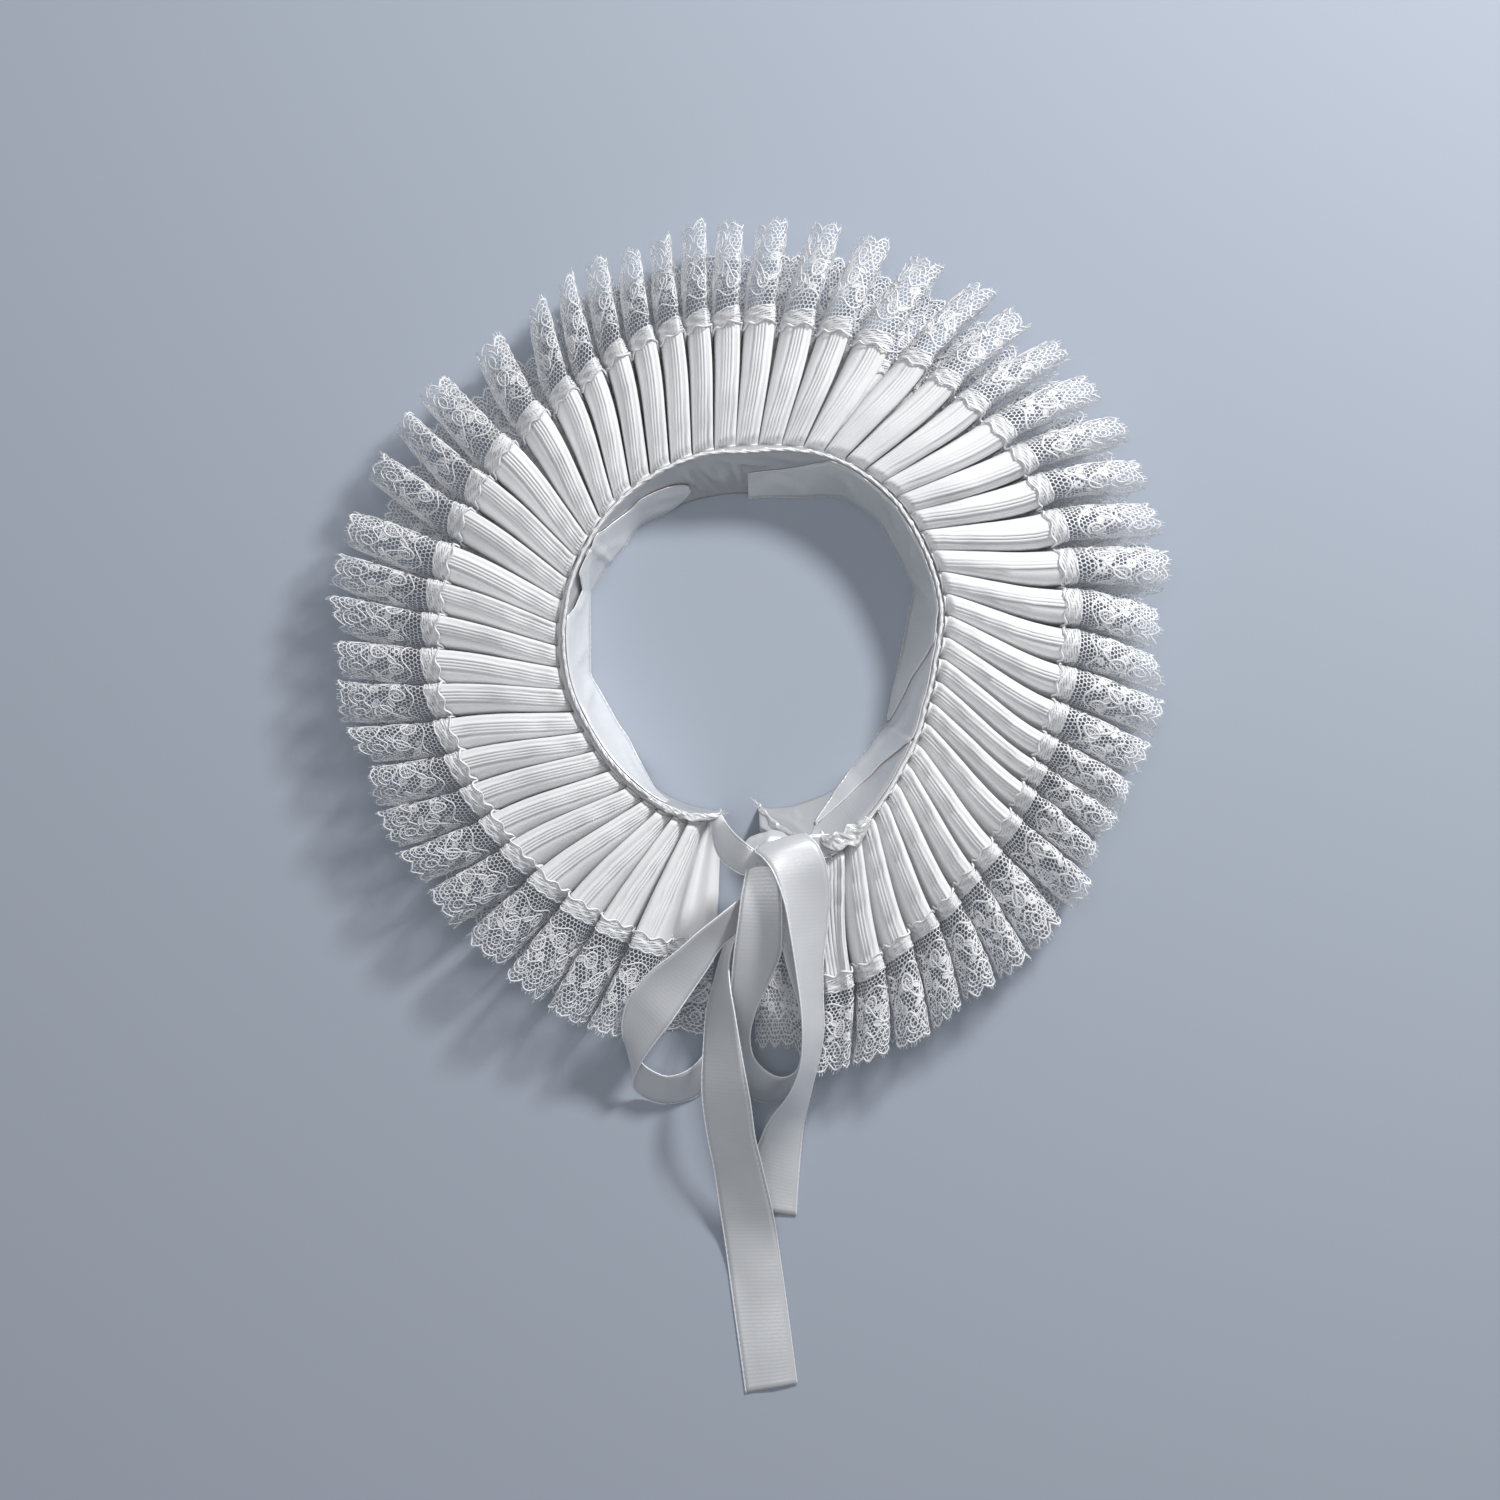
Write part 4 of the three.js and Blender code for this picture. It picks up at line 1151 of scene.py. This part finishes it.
def add_pattern(threads, start, end, heft):
    """The pattern, on each repeat that starts between two lengths."""
    length = threads.lace.length
    bases = np.arange(math.ceil(start / REPEAT), math.ceil(end / REPEAT)) * REPEAT
    shift = np.stack([bases, np.zeros(len(bases))], 1)[:, None]

    def spread(line):
        """A line of the repeat, on every repeat."""
        lines = shaken(line + shift, 0.5, 0.13, 15)
        lines[..., 0] = np.clip(lines[..., 0], 0, length)
        return lines

    def fill(shape, step, width):
        """Threads across a shape, on every repeat."""
        a, b = ((line + shift).reshape(-1, 2) for line in petal_fill(*shape, step))
        inside = (a[:, 0] < length) & (b[:, 0] < length)
        threads.straight(a[inside], b[inside], width * heft, 0.06)

    for c in range(4):
        for v, wide, deep, stop in SCALES:
            threads.cords(spread(arc((c + 0.5) * SCALLOP, v, wide, deep, stop)), CORD * 0.75 * heft)
    for row in VINES:
        threads.cords(spread(vine(*row)), CORD * heft)
    for petal in petals():
        if petal[2] > SOLID_BELOW:
            threads.cords(spread(petal_outline(*petal)), CORD * 0.6)
        fill(petal, 0.6, 0.42)
    for u, v, long, wide, degrees in OVALS:
        turn = math.radians(degrees)
        threads.cords(spread(petal_outline(u, v, long, wide, turn, 16)), CORD * 1.15 * heft)
        threads.cords(spread(petal_outline(u, v, long * 0.45, wide * 0.4, turn, 10)), 0.3)
        fill((u, v, long, wide, turn), 0.85, 0.24)


def add_edge(threads, start, end):
    """The scalloped edge, corded, with its picots."""
    u = np.arange(start, end, SCALLOP / 10)
    threads.cords(np.stack([u, edge_of_lace(u)], 1)[None], CORD * 1.15)
    u = np.arange(start, end, PICOT_STEP)
    root = np.stack([u, edge_of_lace(u) + 0.1], 1)
    tip = root + np.stack([0.4 * np.sin(u * 3.7), 1.2 + 0.6 * np.sin(u * 5.1)], 1)
    threads.straight(root, tip, 0.2)


def add_head(threads, start, end):
    """The head: a bold wavy cord inside, a fine one outside, and close wavy
    rows of thread between them."""
    u = np.arange(start, end, 0.8)
    inner = 0.9 - HEADING + 0.75 * np.sin(2 * math.pi * u / 7.4)
    threads.cords(np.stack([u, inner], 1)[None], CORD * 1.5, 0.25, 0.5)
    outer = -0.5 + 0.35 * np.sin(2 * math.pi * u / 5.1 + 1)
    threads.cords(np.stack([u, outer], 1)[None], CORD, 0.15, 0.2)
    u = np.arange(start, end, 1.2)
    for k in range(HEAD_LINES):
        level = 1.2 - HEADING + k * HEAD_STEP
        line = np.stack([u, level + 0.3 * np.sin(u * 0.9 + k * 1.3)], 1)
        threads.straight(line[:-1], line[1:], 0.52, 0.02)


def make_lace_quarter(name, lace, start, end):
    """One quarter of the lace strip, between two lengths along it."""
    threads = Threads(lace)
    right = "right" in name
    add_net(threads, start, end, THREAD * (NET_HEFT if right else 1.0))
    add_pattern(threads, start, end, CORD_HEFT if right else 1.0)
    add_edge(threads, start, end)
    add_head(threads, start, end)
    return mesh_object(name, np.vstack(threads.points), threads.quads, smooth=False)


def make_lace(sizes):
    """The lace edging, as threads, in four quarters."""
    lace = LaceCloth()
    material = lace_material(sizes)
    quarter = lace.length / 4
    for k, side in enumerate(("left_front", "left_back", "right_back", "right_front")):
        piece = make_lace_quarter(f"lace_{side}", lace, k * quarter, (k + 1) * quarter)
        dress_sheet(piece, "lace_edging", material)


# ---- satin band and ribbons ----------------------------------------------
NECK_RADIUS = 63          # of the band's inside, on the whole
BAND_COLUMNS = 340
BAND_ROWS = 21            # up its wall
SEAM_SHARES = (0.3, 0.65, 1.0)      # over the seam allowance, out to the pleats
RIBBON_WIDE = 19.0
RIBBON_COLUMNS = 11
RIBBON_SPAN = 6           # rows to each span of a ribbon's table
RIBBON_CROWN = 0.45       # how much its middle stands above its edges
RIBBON_FLOOR = 0.45
PLY_ROWS = 11             # up the inner ribbon
PLY_COLUMNS = 1.6         # to a degree
BOTH_PLIES = ((99, 124, 3), (259, 350, 4))      # degrees where two lie together, softness
SATIN_THICK = 0.3
SELVEDGE = 0.27           # radius of a ribbon's woven edge
SELVEDGE_STEP = 1.1
SEAM_STEP = 0.5           # degrees
FRAY_THREADS = 14         # at each raw end
KNOT_HALF = (9.4, 6.8, 5.0)
KNOT_ROWS = 72
KNOT_COLUMNS = 21
KNOT_SHIFT = (0.8, 0, 0)
SOFT_CORNERS = (-1.6, -0.8, 0, 0.8, 1.6)      # degrees over which a corner is rounded


def neckline(degrees):
    """Radius of the neckline, straight between its corners."""
    at, radius = NECKLINE.T
    x, y = -radius * np.sin(np.radians(at)), -radius * np.cos(np.radians(at))
    total = 0
    for shift in SOFT_CORNERS:
        d = np.clip(degrees + shift, at[0] + 0.01, at[-1] - 0.01)
        i = np.searchsorted(at, d) - 1
        dx, dy = -np.sin(np.radians(d)), -np.cos(np.radians(d))
        ex, ey = x[i + 1] - x[i], y[i + 1] - y[i]
        total = total + (x[i] * ey - y[i] * ex) / (dx * ey - dy * ex)
    return total / len(SOFT_CORNERS)


def fold_push(degrees, z, folds):
    """How far creases push the satin toward the neck."""
    total = 0
    for start, z0, stop, z1, deep, wide in folds:
        run, rise = math.radians(stop - start) * NECK_RADIUS, z1 - z0
        x, y = np.radians(degrees - start) * NECK_RADIUS, z - z0
        length = math.hypot(run, rise)
        ux, uy = run / length, rise / length
        t = np.clip((x * ux + y * uy) / length, 0, 1)
        far = np.hypot(x - t * run, y - t * rise)
        sharp = np.where(y * ux > x * uy, 0.55, 1.25)      # steeper on one side
        ridge = deep * np.exp(-(far / (wide * sharp)) ** 2)
        total = total + ridge * (0.35 + 0.65 * np.sin(math.pi * t) ** 0.5)
    return total


def ribbon_grid(rows, seed):
    """A ribbon's surface from its left and right edges."""
    line = smooth_line(rows, RIBBON_SPAN)
    left, right = line[:, None, :3], line[:, None, 3:]
    t = np.linspace(0, 1, RIBBON_COLUMNS)
    grid = left * (1 - t)[:, None] + right * t[:, None]
    n = normals_of(grid)
    n = n * np.where(n[..., 2].mean() < 0, -1, 1)
    arch = RIBBON_CROWN * (1 - (2 * t - 1) ** 2)
    u, v = np.meshgrid(t, middle_run(grid))
    slack = 0.5 * lattice(v * 0.055 + seed * 3, u * 1.3 + seed, 41) * np.clip(v / 12, 0, 1)
    grid = grid + n * (arch + slack)[..., None]
    grid[..., 2] = np.maximum(grid[..., 2], RIBBON_FLOOR)
    return grid


def middle_run(grid):
    """Distance along the middle line of a ribbon's grid."""
    return arc_length(grid[:, grid.shape[1] // 2])


def grid_uv(across, along):
    """Flat millimetres over a grid whose columns are across and rows along."""
    return np.stack(np.meshgrid(across, along), 2)


def selvedges(name, grid, node, material, thick=SELVEDGE):
    """The woven edges of a ribbon, a little thicker than it."""
    lines, radii = [], []
    for edge in (grid[:, 0], grid[:, -1]):
        long = arc_length(edge)[-1]
        line = resample(edge, np.linspace(0, long, int(long / SELVEDGE_STEP)))
        lines.append(line)
        radii.append(thick + 0.05 * np.sin(np.arange(len(line)) * math.pi * 0.9))
    return dress(tubes_object(name, lines, radii), node, material)


def dip(degrees):
    """The band's top edge sags inward at the back of the neck."""
    return 1.1 * np.exp(-((degrees - 178) / 8.0) ** 2) + 0.5 * np.exp(-((degrees - 186) / 16) ** 2)


def make_seam(material):
    """The corded seam round the top of the band, and its gathering stitches."""
    at = np.arange(BAND["at"][0], 340, SEAM_STEP)
    high = band_high(at)
    radius = band_at(at, high) - dip(at)
    crumple = 1 + 1.1 * np.clip((26 - at) / 14, 0, 1) + 1.1 * np.clip((at - 328) / 10, 0, 1)
    heavy = 1 + 0.4 * step_up((30 - at) / 8)

    def jitter(seed, gap):
        return lattice(at * gap, seed, 50 + seed)

    lines, radii = [], []
    # two cords wound round each other, and a finer thread over them
    for k, (turn, size) in enumerate(((0.0, 0.34), (math.pi, 0.30), (1.6, 0.18))):
        twist = at * 0.85 + turn + 0.9 * jitter(k, 0.13)
        out = (0.27 * np.cos(twist) + 0.16 * jitter(k // 2 + 5, 0.33)) * crumple
        up = (0.22 * np.sin(twist) + 0.08 * jitter(k + 9, 0.7)) * crumple
        lines.append(place(at, radius + 0.35 + out, high + 0.25 + up))
        radii.append(size * heavy * (1 + 0.14 * jitter(k + 13, 1.3)))
    # a stitch over the foot of each pleat but the last
    share = np.linspace(0, 1, 7)
    bow = np.sin(share * math.pi)
    for k, foot in enumerate(PLEATS["foot"][:-1]):
        lean = 0.9 if PLEATS["lean"][k] > 0 else -0.9
        out = np.interp(foot, at, radius) + 0.8 + 0.3 * bow
        z = np.interp(foot, at, high) - 0.3 - 0.5 * share
        lines.append(place(foot + (2 * share - 0.9) * lean, out, z))
        radii.append(0.1 + 0.16 * bow * (1 + 0.2 * math.sin(k * 2.3)))
    return dress(tubes_object("neck_band_seam", lines, radii), "neck_band", material)


def make_fray(name, starts, heading, reach, seed, material):
    """Loose threads at a raw end, from points along it."""
    rng = np.random.default_rng(seed)
    starts, heading = np.array(starts, float), np.array(heading)
    step = np.linspace(0, 1, 6)[:, None]
    lines = []
    for _ in range(FRAY_THREADS):
        t = rng.random() * (len(starts) - 1)
        i = int(t)
        root = starts[i] * (1 - t + i) + starts[i + 1] * (t - i)
        way = unit(heading + rng.normal(0, 0.55, 3))
        bend = rng.normal(0, 0.5, 3)
        long = reach * (0.35 + 0.65 * rng.random())
        line = root + way * long * step + bend * long * step ** 2
        line[:, 2] = np.maximum(line[:, 2], 0.3)
        lines.append(line)
    radii = [np.linspace(0.17, 0.08, len(step))] * len(lines)
    return dress(tubes_object(name, lines, radii, 5), "neck_band", material)


def crumpled(name, path, wide, rise, seed, material):
    """Crushed satin along a path of (x, y, z)."""
    line = smooth_line(path, 16)
    run = arc_length(line)
    along = unit(np.gradient(line, axis=0))
    across = unit(np.cross(along, [0, 0, 1.0]))
    up = np.cross(across, along)
    t = np.linspace(-1, 1, 19)
    u, v = np.meshgrid(t, run)
    ends = np.sin(math.pi * np.clip(run / run[-1], 0.06, 0.94)) ** 0.5
    width = (wide + 0.35 * wide * lattice(run * 0.35, 0, seed)) * ends
    bulge = ((1 - u ** 2) * rise + wide * (
        0.26 * lattice(v * 0.26 + 0.7 * u, u * 0.9, seed + 1)
        + 0.17 * np.abs(lattice(v * 0.5 - 1.2 * u, u * 1.3, seed + 2))))
    slip = 0.45 * lattice(v * 0.6, u * 1.2, seed + 3)
    grid = (line[:, None] + across[:, None] * (t[None] * width[:, None] + slip)[..., None]
            + up[:, None] * (bulge * ends[:, None])[..., None])
    uv = np.stack([u * wide, v], 2)
    return dress(shell(name, grid, SATIN_THICK, uv), "neck_band", material)


def make_gathers(material):
    """The crushed satin at the two ends of the band, and where it turns over."""
    at = np.array([11.0, 14, 17, 20, 23, 26, 30, 34])
    high = band_high(at)
    left = place(at, band_at(at, high) + 1.0, high + 0.1)
    right = [(41.4, -62.4, 26.2), (38.6, -66.4, 26.8), (34.8, -69.2, 27.2),
             (30.6, -70.8, 27.4), (26.8, -70.6, 27.2), (23.6, -68.6, 25.6)]
    turned_edge = [(2.3, -58.0, 13.4), (4.6, -61.0, 14.6), (7.6, -64.4, 15.8),
                   (10.2, -66.4, 17.0), (14.2, -68.6, 19.4), (18.6, -71.0, 22.0)]
    pieces = []
    for name, path, wide, rise, seed in (
            ("neck_band_gather", right, 3.7, 0.9, 61),
            ("neck_band_turned_edge", turned_edge, 1.25, 0.5, 71),
            ("neck_band_left_gather", left, 1.35, 0.55, 81)):
        pieces.append(crumpled(name, path, wide, rise, seed, material))
    return pieces


def covered_by_ribbon(at):
    """Height up to which the inner ribbon hides the band."""
    covered = np.full(len(at), -5.0)
    for _, _, _, rows in NECK_PLIES:
        ply = table("at low high", rows)
        inside = (at > ply["at"][0]) & (at < ply["at"][-1])
        high = np.interp(at, ply["at"], ply["high"])
        covered = np.where(inside, np.maximum(covered, high), covered)
    return covered


def band_grid(at):
    """The band's satin: up its wall, then out over the seam allowance."""
    covered, high = covered_by_ribbon(at), band_high(at)
    crush = np.clip((at - 322) / 22, 0, 1) + np.clip((24 - at) / 12, 0, 1) * 0.7
    rows = []
    for share in np.linspace(0, 1, BAND_ROWS):
        z = np.maximum(high * share, 0.4)
        loose = math.sin(math.pi * min(share * 1.1, 1)) ** 0.7
        push = fold_push(at, z, BAND_FOLDS) * loose
        push += 0.45 * lattice(at * 0.13, z * 0.12 + at * 0.03, 21) * loose
        push += crush * (0.5 * lattice(at * 0.3 + z * 0.1, z * 0.2, 22)
                         + 0.22 * lattice(at * 0.8, z * 0.5, 23))
        push = np.clip(push, -0.4, 2.6) * (0.05 + 0.95 * step_up((z - covered) / 4))
        rows.append(place(at, band_at(at, z) - push - dip(at) * step_up((z - 10) / 16), z))
    wide = step_up((118 - at) / 20)
    for t in SEAM_SHARES:
        out = band_at(at, high) - dip(at) * (1 - t) + (1.3 + 0.9 * wide) * t
        crinkle = 0.35 * wide * t * lattice(at * 0.42, 2.5 * t, 24)
        rows.append(place(at, out, high - (3.0 - 1.7 * wide) * t ** 1.4 + crinkle))
    return np.array(rows)


def make_band(sizes):
    """The satin band, with its seam, gathers and frayed ends."""
    material = satin_material("band_satin", scaled(sizes.satin_color, 0.8), 0.3)
    # The crushed satin is the band's satin painted lighter: a painted highlight on its crumples.
    crushed = satin_material("crushed_satin_painted_highlight", scaled(sizes.satin_color, 0.98), 0.2)
    thread = thread_material(sizes)
    grid = band_grid(np.linspace(BAND["at"][0], BAND["at"][-1], BAND_COLUMNS))
    run = arc_length(grid[10])
    left_end = grid[12:BAND_ROWS:2, 0]
    right_end = [(2.6, -58.6, 13.0), (2.0, -57.6, 14.0), (3.4, -58.6, 14.6)]
    trims = [make_seam(thread), *make_gathers(crushed),
             make_fray("neck_band_fray_left", left_end, (0.8, 0.3, 0.3), 2.4, 71, thread),
             make_fray("neck_band_fray_right", right_end, (-0.7, 0.5, 0.4), 2.2, 72, thread)]
    uv = grid_uv(run, np.linspace(0, 31, len(grid)))
    piece = shell("neck_band_satin", grid[::-1], 0.45, uv)
    dress_sheet(piece, "neck_band", material)


def ply_grid(at, low, top, under):
    """One ply of the inner ribbon, from its lower edge up: it stands off the
    band, farther where two plies lie on each other, and spans the neckline's
    corners; under is where it lies beneath another ply."""
    top = top + (band_high(at) - 0.5 - top) * step_up((top - 23.4) / 1.2)
    double = sum(between(at, *lap) for lap in BOTH_PLIES)
    below = between(at, under[0], under[1] + 2, 2)
    gap = LAP + LAP * double
    rows = []
    for share in np.linspace(0, 1, PLY_ROWS):
        z = low + (top - low) * share
        wall = band_at(at, z) - gap - dip(at) * step_up((z - 10) / 16)
        straight = neckline(at)
        up = np.clip(z / 25, 0, 1) ** 0.9
        r = np.minimum(straight + (band_at(at, 26.0) - gap - straight) * up, wall)
        push = fold_push(at, z, RIBBON_FOLDS) * math.sin(math.pi * (0.12 + 0.76 * share))
        push = push + 0.3 * lattice(at * 0.15, z * 0.14, 31)
        rows.append(place(at, np.minimum(r - push, wall) + LAP * below, z))
    return np.array(rows)


def make_neck_ribbon(sizes):
    """The ribbon round the inside of the band, ply by ply."""
    for name, under, light, rows in NECK_PLIES:
        # Each ply gets its own copy of the satin, painted lighter or darker by its lightness: painted
        # light and painted shade.
        material = satin_material(f"inner_ribbon_painted_light_satin_{name}", scaled(sizes.satin_color, light), 0.34)
        start, stop = rows[0][0], rows[-1][0]
        at = np.linspace(start, stop, int((stop - start) * PLY_COLUMNS))
        fine = smooth_line(rows, 8)
        low = np.maximum(np.interp(at, fine[:, 0], fine[:, 1]), 0.4)
        grid = ply_grid(at, low, np.interp(at, fine[:, 0], fine[:, 2]), under)
        run = arc_length(grid[PLY_ROWS // 2])
        edges = selvedges(f"neck_ribbon_{name}_selvedge", grid.transpose(1, 0, 2), "neck_ribbon", material)
        uv = grid_uv(run, np.linspace(0, RIBBON_WIDE, PLY_ROWS))[..., ::-1]
        piece = shell(f"neck_ribbon_{name}", grid[::-1], SATIN_THICK, uv)
        dress_sheet(piece, "neck_ribbon", material)


def make_bow(sizes):
    """The loops, tails and links of the bow."""
    material = satin_material("ribbon_satin", sizes.ribbon_color, 0.33)
    # The selvedges get the ribbon's satin painted lighter: a painted highlight along the ribbons' edges.
    edging = satin_material("ribbon_selvedge", scaled(sizes.ribbon_color, 1.24), 0.5)
    for k, (node, rows, rests_on) in enumerate((
            ("tail_long", TAIL_LONG, ["ribbon_loop_left"]),
            ("tail_short", TAIL_SHORT, ["ribbon_knot"]),
            ("loop_left", LOOP_LEFT, ["lace_left_front"]),
            ("loop_right", LOOP_RIGHT, ["lace_right_front"]),
            ("tie_left", TIE_LEFT, ["neck_band_satin"]),
            ("tie_right", TIE_RIGHT, ["neck_band_satin"]))):
        name = "ribbon_" + node
        grid = ribbon_grid(rows, k + 1.0)
        run = middle_run(grid)
        edges = selvedges(name + "_selvedge", grid, node, edging, 0.3)
        uv = grid_uv(np.linspace(0, RIBBON_WIDE, RIBBON_COLUMNS), run)
        piece = shell(name, grid, sizes.ribbon_thick / MM, uv)
        dress_sheet(piece, node, material)


def make_knot(sizes):
    """The knot: ribbon wound round the crossing of the bow."""
    material = satin_material("knot_satin", sizes.ribbon_color, 0.33)
    half_long, half_wide, half_high = KNOT_HALF
    across = np.linspace(-1, 1, KNOT_COLUMNS)
    squeeze = 1 - 0.6 * np.abs(across) ** 2.2
    rows = []
    for a in np.linspace(0, 2 * math.pi, KNOT_ROWS):
        x = half_long * across
        fold = 0.3 * np.sin(across * 6.5 + math.sin(a) * 1.5) + 0.12 * np.sin(across * 15 + a * 2)
        y = (half_wide * squeeze + fold) * np.cos(a) + 0.12 * x
        z = (half_high * squeeze + fold) * np.sin(a)
        rows.append(np.stack([x, y, z], 1) + KNOT_AT + KNOT_SHIFT)
    grid = np.array(rows)
    run = middle_run(grid)
    uv = grid_uv(np.linspace(0, 17, len(across)), run)
    piece = shell("ribbon_knot", grid, 0.4, uv)
    dress_sheet(piece, "bow_knot", material)


# ---- the add-on ----------------------------------------------------------
def color_property(name, text, default):
    """A colour that a user would change."""
    return bpy.props.FloatVectorProperty(name=name, description=text, size=3, subtype="COLOR",
                                         default=default, min=0, max=1)


def length_property(name, text, default):
    """A length that a user would change."""
    return bpy.props.FloatProperty(name=name, description=text, default=default,
                                   subtype="DISTANCE", unit="LENGTH")


class CollarSizes(bpy.types.PropertyGroup):
    """Colours, and the thickness of each cloth"""
    cloth_color: color_property("Cloth colour", "Colour of the pleated cloth", (0.86, 0.865, 0.875))
    lace_color: color_property("Lace colour", "Colour of the lace thread", (0.88, 0.885, 0.9))
    satin_color: color_property("Band colour", "Colour of the satin band", (0.70, 0.705, 0.715))
    ribbon_color: color_property("Ribbon colour", "Colour of the ribbon", (0.73, 0.74, 0.76))
    floor_color: color_property("Floor colour", "Colour of the floor", (0.38, 0.42, 0.49))
    cloth_thick: length_property("Cloth thickness", "Thickness of the pleated cloth", 0.00035)
    ribbon_thick: length_property("Ribbon thickness", "Thickness of the ribbon", 0.0003)


def sizes_of(context):
    return context.scene.collar_sizes


class COLLAR_OT_stage(bpy.types.Operator):
    """Floor, light and the camera above"""
    bl_idname = "collar.stage"
    bl_label = "Stage"

    def execute(self, context):
        add_stage(sizes_of(context))
        return {"FINISHED"}


class COLLAR_OT_band(bpy.types.Operator):
    """The satin neck band and the ribbon inside it"""
    bl_idname = "collar.band"
    bl_label = "Neck band"

    def execute(self, context):
        make_band(sizes_of(context))
        make_neck_ribbon(sizes_of(context))
        return {"FINISHED"}


class COLLAR_OT_ruffle(bpy.types.Operator):
    """The pleated cloth of the ruff"""
    bl_idname = "collar.ruffle"
    bl_label = "Ruff"

    def execute(self, context):
        make_ruffle(sizes_of(context))
        return {"FINISHED"}


class COLLAR_OT_lace(bpy.types.Operator):
    """The gathered lace round the ruff"""
    bl_idname = "collar.lace"
    bl_label = "Lace"

    def execute(self, context):
        make_lace(sizes_of(context))
        return {"FINISHED"}


class COLLAR_OT_bow(bpy.types.Operator):
    """The ribbon bow and its knot"""
    bl_idname = "collar.bow"
    bl_label = "Bow"

    def execute(self, context):
        make_bow(sizes_of(context))
        make_knot(sizes_of(context))
        return {"FINISHED"}


class COLLAR_PT_panel(bpy.types.Panel):
    """Sizes and pieces of the collar"""
    bl_label = "False Collar"
    bl_idname = "COLLAR_PT_panel"
    bl_space_type = "VIEW_3D"
    bl_region_type = "UI"
    bl_category = "False Collar"

    def draw(self, context):
        column = self.layout.column()
        for name in CollarSizes.__annotations__:
            column.prop(sizes_of(context), name)
        for operator in OPERATORS:
            column.operator(operator.bl_idname)


OPERATORS = (COLLAR_OT_stage, COLLAR_OT_band, COLLAR_OT_ruffle, COLLAR_OT_lace, COLLAR_OT_bow)
CLASSES = (CollarSizes, *OPERATORS, COLLAR_PT_panel)


def register():
    for cls in CLASSES:
        bpy.utils.register_class(cls)
    bpy.types.Scene.collar_sizes = bpy.props.PointerProperty(type=CollarSizes)


def unregister():
    del bpy.types.Scene.collar_sizes
    for cls in reversed(CLASSES):
        bpy.utils.unregister_class(cls)


def main():
    """Makes the collar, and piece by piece."""
    register()
    bpy.ops.collar.stage()
    bpy.ops.collar.band()
    bpy.ops.collar.ruffle()
    bpy.ops.collar.lace()
    bpy.ops.collar.bow()


if __name__ == "__main__":
    main()
